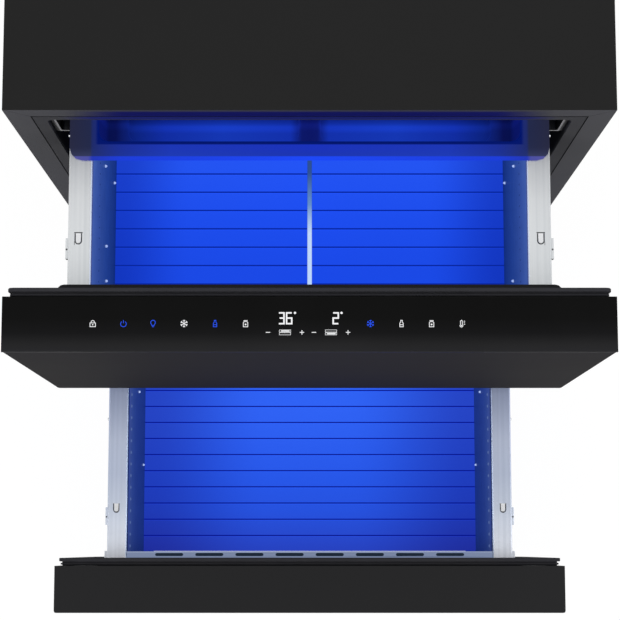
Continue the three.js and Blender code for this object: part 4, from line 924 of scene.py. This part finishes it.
def drawTabShadow(shape, zone, hand):
    # painted shadow in the pressed tab's slot, and painted shade in the crease where the tongue bends
    x, y = tabPlace(zone, hand)
    top, half = zone["rim"], tabSet["half"] - 0.4 * mm
    mouth, bend, crease = y + tabSet["mouth"], y - tabSet["bend"], y + tabSet["creaseBack"]
    tab = [(x - half, mouth), (x - half, bend)] + arc(x, bend, half, 190, 350, 8)
    tab += [(x + half, bend), (x + half, mouth)]
    stroke(shape, tab, tabSet["line"], top - tabSet["sunk"], tabSet["sunk"] + 0.05 * mm)
    if zone["name"] == "upper":
        foot = x + hand * 3.9 * mm
        ends = [(x - tabSet["creaseHalf"], crease), (x + tabSet["creaseHalf"], crease)]
        stroke(shape, ends, 1.0 * mm, top - 0.05 * mm, 0.1 * mm)
        stroke(shape, [(foot, y - 2.6 * mm), (foot, y - 6.2 * mm)], 0.5 * mm, top - 0.05 * mm, 0.1 * mm)
    else:
        spot(shape, x, y - 4.4 * mm, 1.3 * mm, top - 0.05 * mm, 0.12 * mm)


def drawTongue(shape, zone, hand):
    # the tongue itself, level with the cap so that the tray slides over it
    rows = ((5.4, 2.5, 0.0), (2.0, 2.5, 0.03), (-1.5, 2.3, 0.06), (-3.4, 1.6, 0.08), (-4.1, 0.7, 0.08))
    x, y = tabPlace(zone, hand)
    loops = []
    for back, half, rise in rows:
        low, high = zone["rim"] + (rise - 0.5) * mm, zone["rim"] + (rise + 0.08) * mm
        left, right, at = x - half * mm, x + half * mm, y + back * mm
        loops.append([(left, at, low), (right, at, low), (right, at, high), (left, at, high)])
    loft(shape, loops)


def drawBumper(shape, zone, hand):
    # rubber button at the front end of the outer clip
    node = sideName(zone, hand)
    edge = abs(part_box(node)[0 if hand < 0 else 1].x) - clipSet["inset"]
    start = (hand * edge, zone["front"] + clipSet["back"], zone["rim"] + 0.1)
    at, normal = landOn(node, start, (0, 0, -1))
    rivet(shape, at, normal, clipSet["button"])


def drawLever(shape, zone, hand):
    # release lever in the front of the slide's drawer member: back, lower edge, upper edge, thickness
    rows = ((4, -2, 2, 2.0), (6, -4, 4, 2.8), (14, -4.5, 4.5, 2.8), (20, -2.6, 2.0, 2.4),
            (34, -2.4, -0.4, 2.0), (36, -2.0, -0.8, 1.6))
    low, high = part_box(f"{zone['name']}_runner_{'left' if hand < 0 else 'right'}")
    middle = (low.z + high.z) / 2
    inner = abs(low.x if hand > 0 else high.x) + 1.4 * mm
    loops = []
    for back, down, up, deep in rows:
        x0, x1 = sorted((hand * inner, hand * (inner + deep * mm)))
        y, z0, z1 = low.y + back * mm, middle + down * mm, middle + up * mm
        loops.append([(x0, y, z0), (x1, y, z0), (x1, y, z1), (x0, y, z1)])
    loft(shape, loops)


for zoneName, zone in zones.items():
    grooved = makePiece(f"{zoneName}_grooved_floor", zone["body"], "white_plastic",
                        f"{zoneName}FloorPlastic", drawFloor, zone)
    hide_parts(f"{zoneName}_floor")
    makePiece(f"{zoneName}_slot_seal", zone["body"], "foam", "paintedSlotShadow", drawSlotShade, zone)
    for hand, side in sides:
        for name, slot, finish, draw in (
                ("wall_marks", "brushed_steel", f"{zoneName}PressedMark", drawMarks),
                ("tab_slot", "brushed_steel", "tabShadow", drawTabShadow),
                ("tab_tongue", "zinc_steel", "tabSteel", drawTongue),
                ("clip_bumper", "black_rubber", "bumper", drawBumper),
                ("slide_lever", "black_plastic", "blackPlastic", drawLever)):
            makePiece(f"{zoneName}_{name}_{side}", zone["body"], slot, finish, draw, zone, hand)
print("drawer parts ready")

beadSet = {"width": 1.1 * mm, "rise": 0.2 * mm}


def drawFrameBead(shape):
    # dark bead in the joint between the front frame and the cabinet's folded edges
    low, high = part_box("front_frame")
    half, foot, top = high.x + 0.3 * mm, low.z + 2 * mm, high.z - 0.6 * mm
    flat = bmesh.new()
    stroke(flat, [(-half, foot), (-half, top), (half, top), (half, foot)], beadSet["width"],
           -beadSet["rise"], beadSet["rise"] * 2)
    stood = [[Vector((v.co.x, frontPlane - v.co.z, v.co.y)) for v in face.verts] for face in flat.faces]
    flat.free()
    for corners in stood:
        shape.faces.new([shape.verts.new(corner) for corner in corners])
    bmesh.ops.remove_doubles(shape, verts=shape.verts, dist=0.01 * mm)


def drawStops(shape, zone):
    # bright stop on the outer lip of each cap, that meets the tray's and the slide's ends
    for hand, side in sides:
        start = (hand * 0.3, zone["front"] + 0.166, zone["rim"] - 4 * mm)
        at, normal = landOn(f"{zone['name']}_side_{side}", start, (-hand, 0, 0))
        rivet(shape, at, normal, 2.0 * mm, 1.4)


makePiece("frame_joint_bead", "cabinet", "black_rubber", "jointBlack", drawFrameBead)
for zone in zones.values():
    makePiece(f"{zone['name']}_cap_stops", zone["body"], "zinc_steel", "boltSteel", drawStops, zone)

# ---- marks on the touch panel: pictograms and plain numbers, no words
panelSet = {"line": 0.62 * mm, "scale": 1.24 * mm, "height": 0.12 * mm, "row": -240.2 * mm}
digitSet = {"foot": -240.3 * mm, "width": 4.9 * mm, "gap": 2.5 * mm, "height": 10.4 * mm, "line": 1.45 * mm}
stepSet = {"row": -248.7 * mm, "half": 2.1 * mm, "line": 0.7 * mm}
signSet = {"half": 5.4 * mm, "rise": 1.05 * mm, "apart": 1.35 * mm, "edge": 0.34 * mm, "full": 1.1 * mm}
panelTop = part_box("touch_panel")[1].z

inkColors = {
    "white": (tone(250, 250, 250), tone(232, 233, 236)),
    "blue": (tone(44, 92, 250), tone(34, 76, 226)),
}
for name, (color, deep) in inkColors.items():
    speckled(f"{name}Mark", {"color": color, "deep": deep, "fine": 1600.0, "speckle": (0.2, 0.8),
                             "roughness": 0.5, "specular": 0.1, "glow": 0.72, "dust": 0.0, "grain": 2400.0})


def polar(radius, angle):
    return radius * math.cos(angle), radius * math.sin(angle)


barbTurn = 0.3
turns = [math.radians(30 + 60 * i) for i in range(6)]
snowArms = [[polar(2.8, a), polar(-2.8, a)] for a in turns[:3]]
snowBarbs = [[polar(2.7, a + barbTurn), polar(1.9, a), polar(2.7, a - barbTurn)] for a in turns]
# each pictogram: open lines, closed lines and spots, in a field about 5 mm high
pictograms = {
    "lock": {"open": [[(-1.25, 0.4)] + arc(0, 1.1, 1.25, 180, 0) + [(1.25, 0.4)]],
             "closed": [[(-2.1, -2.4), (2.1, -2.4), (2.1, 0.5), (-2.1, 0.5)]], "spots": [(0, -0.9, 0.5)]},
    "power": {"open": [arc(0, -0.3, 2.2, 125, 415, 16), [(0, 0.3), (0, 2.6)]]},
    "lamp": {"open": [[(-0.8, -2.5), (0.8, -2.5)]],
             "closed": [arc(0, 0.8, 1.8, -50, 230, 14) + [(-0.8, -1.6), (0.8, -1.6)]]},
    "snow": {"open": snowArms + snowBarbs},
    "bottle": {"closed": [[(-1.3, -2.5), (1.3, -2.5), (1.3, 0.3), (0.6, 1.2),
                           (0.6, 2.5), (-0.6, 2.5), (-0.6, 1.2), (-1.3, 0.3)]],
               "open": [[(-1.3, -0.9), (1.3, -0.9)]]},
    "jar": {"closed": [[(-1.7, -2.5), (1.7, -2.5), (1.7, 0.9), (1.1, 1.5), (-1.1, 1.5), (-1.7, 0.9)]],
            "open": [[(-1.5, 2.3), (1.5, 2.3)]], "spots": [(0, -0.7, 0.7)]},
    "gauge": {"closed": [arc(-0.6, -1.6, 1.1, -230, 50, 12) + [(0.1, 2.0), (-0.6, 2.6), (-1.3, 2.0)]],
              "open": [[(1.2, 1.8), (2.2, 1.8)], [(1.2, 0.6), (2.0, 0.6)], [(1.2, -0.6), (2.2, -0.6)]],
              "spots": [(-0.6, -1.6, 0.5)]},
}
# lines of each digit, in shares of its width and height
digitLines = {
    "3": [[(0, 1), (1, 1), (1, 0), (0, 0)], [(0.15, 0.52), (1, 0.52)]],
    "6": [[(1, 1), (0, 1), (0, 0), (1, 0), (1, 0.52), (0.15, 0.52)]],
    "2": [[(0, 1), (1, 1), (1, 0.52), (0, 0.52), (0, 0), (1, 0)]],
}
# where each mark stands, in millimetres from the middle
touchMarks = [("lock", -207.6, "white"), ("power", -178.2, "blue"), ("lamp", -149.9, "blue"),
              ("snow", -120.2, "white"), ("bottle", -90.5, "blue"), ("jar", -61.3, "white"),
              ("snow", 58.3, "blue"), ("bottle", 88.0, "white"), ("jar", 116.8, "white"),
              ("gauge", 146.1, "white")]
numbers = [("36", -29.4), ("2", 22.6)]
steps = [(-39.8, False), (-7.3, True), (4.2, False), (36.8, True)]
drawerSigns = [(-23.5, True), (20.5, False)]


def printLine(shape, points, width, closed=False):
    stroke(shape, points, width, panelTop, panelSet["height"], closed)


def printSpot(shape, x, y, radius):
    spot(shape, x, y, radius, panelTop, panelSet["height"])


def drawPictogram(shape, name, x, y, scale):
    for kind, closed in (("open", False), ("closed", True)):
        for run in pictograms[name].get(kind, []):
            points = [(x + u * scale, y + v * scale) for u, v in run]
            printLine(shape, points, panelSet["line"], closed)
    for u, v, radius in pictograms[name].get("spots", []):
        printSpot(shape, x + u * scale, y + v * scale, radius * scale)


def drawNumber(shape, digits, left):
    foot, width, height = digitSet["foot"], digitSet["width"], digitSet["height"]
    for digit in digits:
        for run in digitLines[digit]:
            printLine(shape, [(left + u * width, foot + v * height) for u, v in run], digitSet["line"])
        left += width + digitSet["gap"]
    printSpot(shape, left + 0.6 * mm, foot + height, 1.15 * mm)


def drawStep(shape, x, plus):
    y, half = stepSet["row"], stepSet["half"]
    printLine(shape, [(x - half, y), (x + half, y)], stepSet["line"])
    if plus:
        printLine(shape, [(x, y - half), (x, y + half)], stepSet["line"])


def drawDrawerSign(shape, x, upper):
    # two stacked drawers, the one that the number is for drawn full
    half, rise = signSet["half"], signSet["rise"]
    for apart, full in ((signSet["apart"], upper), (-signSet["apart"], not upper)):
        y = stepSet["row"] + apart
        edge = [(x - half, y - rise), (x + half, y - rise), (x + half, y + rise), (x - half, y + rise)]
        printLine(shape, edge, signSet["edge"], True)
        if full:
            printLine(shape, [(x - half * 0.7, y), (x + half * 0.8, y)], signSet["full"])


def drawWhiteNumbers(shape):
    for digits, x in numbers:
        drawNumber(shape, digits, x * mm)
    for draw, places in ((drawStep, steps), (drawDrawerSign, drawerSigns)):
        for x, choice in places:
            draw(shape, x * mm, choice)


makePiece("panel_numbers", "upper_drawer", "lamp_lens", "whiteMark", drawWhiteNumbers)
for number, (symbol, x, color) in enumerate(touchMarks):
    makePiece(f"panel_mark_{number + 1}_{symbol}", "upper_drawer", "lamp_lens", f"{color}Mark",
              drawPictogram, symbol, x * mm, panelSet["row"], panelSet["scale"])
print("panel marks", len(touchMarks))

# ---- machine bay and feet, in millimetres from the compressor's corners
pipeRadius = 3.2 * mm
returnPipe = [(108, 20, -34), (122, 20, -30), (122, 20, 6), (122, -30, 10)]
boxSet = {"low": (46, -10, 62), "high": (92, 16, 100), "chamfer": 3 * mm}
nutSet = {"drop": 9.5 * mm, "size": 9.5 * mm}


def drawPipes(shape):
    low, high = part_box("compressor")
    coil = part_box("condenser")[1]
    x, y = low.x + 18 * mm, (low.y + high.y) / 2
    run = coil.z - 26 * mm
    tube(shape, [(x, y, high.z - 30 * mm), (x - 14 * mm, y, high.z - 24 * mm), (x - 14 * mm, y, run),
                 (coil.x - 30 * mm, y, run)], pipeRadius)
    tube(shape, [(low.x + u * mm, y + v * mm, high.z + w * mm) for u, v, w in returnPipe], pipeRadius)


def drawTerminalBox(shape):
    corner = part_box("compressor")[0]
    low, high = [[c + offset * mm for c, offset in zip(corner, boxSet[end])] for end in ("low", "high")]
    block(shape, low, high, boxSet["chamfer"])


def drawFootNuts(shape):
    for name in nodes:
        if name.startswith("foot"):
            low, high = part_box(name)
            at = ((low.x + high.x) / 2, (low.y + high.y) / 2, high.z - nutSet["drop"])
            hexNut(shape, at, (0, 0, 1), nutSet["size"])


makePiece("refrigerant_pipes", "cabinet", "zinc_steel", "copper", drawPipes, smooth=60)
makePiece("terminal_box", "cabinet", "black_plastic", "blackPlastic", drawTerminalBox)
makePiece("foot_lock_nuts", "cabinet", "zinc_steel", "boltSteel", drawFootNuts)
print("machine parts ready")

# ---- stage: camera, floor, light
cameraSet = {"height": 2.57, "ahead": 0.42165, "side": 0.0004, "tilt": 7.585, "lens": 104.4, "sensor": 36}
stageSet = {"floorSize": 14.0, "floorPaint": (0.95, 0.95, 0.95, 1), "floorWhite": 0.9, "floorGlow": 1.04,
            "skyLight": 0.62}
lightSet = {
    "keyLight": {"at": (-1.6, -1.9, 3.4), "aim": (0, -0.2, 0.6), "size": (1.8, 1.8), "power": 42},
    "fillLight": {"at": (1.9, -1.2, 2.6), "aim": (0, -0.2, 0.6), "size": (1.6, 1.6), "power": 22},
    "rearLight": {"at": (0.4, 2.4, 2.8), "aim": (0, 0.2, 0.6), "size": (2.0, 1.2), "power": 20},
}


def makeCamera():
    data = bpy.data.cameras.new("camera")
    data.lens = cameraSet["lens"]
    data.sensor_width = cameraSet["sensor"]
    camera = bpy.data.objects.new("camera", data)
    camera.location = (cameraSet["side"], frontPlane - cameraSet["ahead"], cameraSet["height"])
    camera.rotation_euler = (math.radians(cameraSet["tilt"]), 0, 0)
    scene.collection.objects.link(camera)
    scene.camera = camera


def seenDirectly(tree):
    # 1 for what the camera sees, also through glass and in gloss
    rays = addNode(tree, "ShaderNodeLightPath").outputs
    mirrored = calculate(tree, "MAXIMUM", rays["Is Glossy Ray"], rays["Is Transmission Ray"])
    return calculate(tree, "MAXIMUM", rays["Is Camera Ray"], mirrored)


def makeFloor():
    half = stageSet["floorSize"] / 2
    mesh = bpy.data.meshes.new("floor")
    mesh.from_pydata([(-half, -half, 0), (half, -half, 0), (half, half, 0), (-half, half, 0)], [],
                     [(0, 1, 2, 3)])
    floor = bpy.data.objects.new("floor", mesh)
    scene.collection.objects.link(floor)
    material = bpy.data.materials.new("paleFloor")
    material.use_nodes = True
    tree = material.node_tree
    tree.nodes.clear()
    matt = addNode(tree, "ShaderNodeBsdfDiffuse", {"Color": stageSet["floorPaint"]})
    white = addNode(tree, "ShaderNodeEmission", {"Color": (1, 1, 1, 1), "Strength": stageSet["floorGlow"]})
    share = calculate(tree, "MULTIPLY", seenDirectly(tree), stageSet["floorWhite"])
    blend = addNode(tree, "ShaderNodeMixShader", {0: share, 1: matt.outputs[0], 2: white.outputs[0]})
    addNode(tree, "ShaderNodeOutputMaterial", {0: blend.outputs[0]})
    mesh.materials.append(material)


def makeSky():
    world = bpy.data.worlds.new("studio")
    scene.world = world
    world.use_nodes = True
    tree = world.node_tree
    tree.nodes.clear()
    strength = fade(tree, seenDirectly(tree), 0.0, 1.0, stageSet["skyLight"], 1.0)
    sky = addNode(tree, "ShaderNodeBackground", {"Color": (1, 1, 1, 1), "Strength": strength})
    addNode(tree, "ShaderNodeOutputWorld", {0: sky.outputs[0]})


def makeLight(name, values):
    data = bpy.data.lights.new(name, "AREA")
    data.shape = "RECTANGLE"
    data.size, data.size_y = values["size"]
    data.energy = values["power"]
    lamp = bpy.data.objects.new(name, data)
    lamp.location = values["at"]
    lamp.rotation_euler = (Vector(values["aim"]) - Vector(values["at"])).to_track_quat("-Z", "Y").to_euler()
    scene.collection.objects.link(lamp)


makeCamera()
makeFloor()
makeSky()
for name, values in lightSet.items():
    makeLight(name, values)
scene.view_settings.view_transform = "Standard"
print("stage ready")
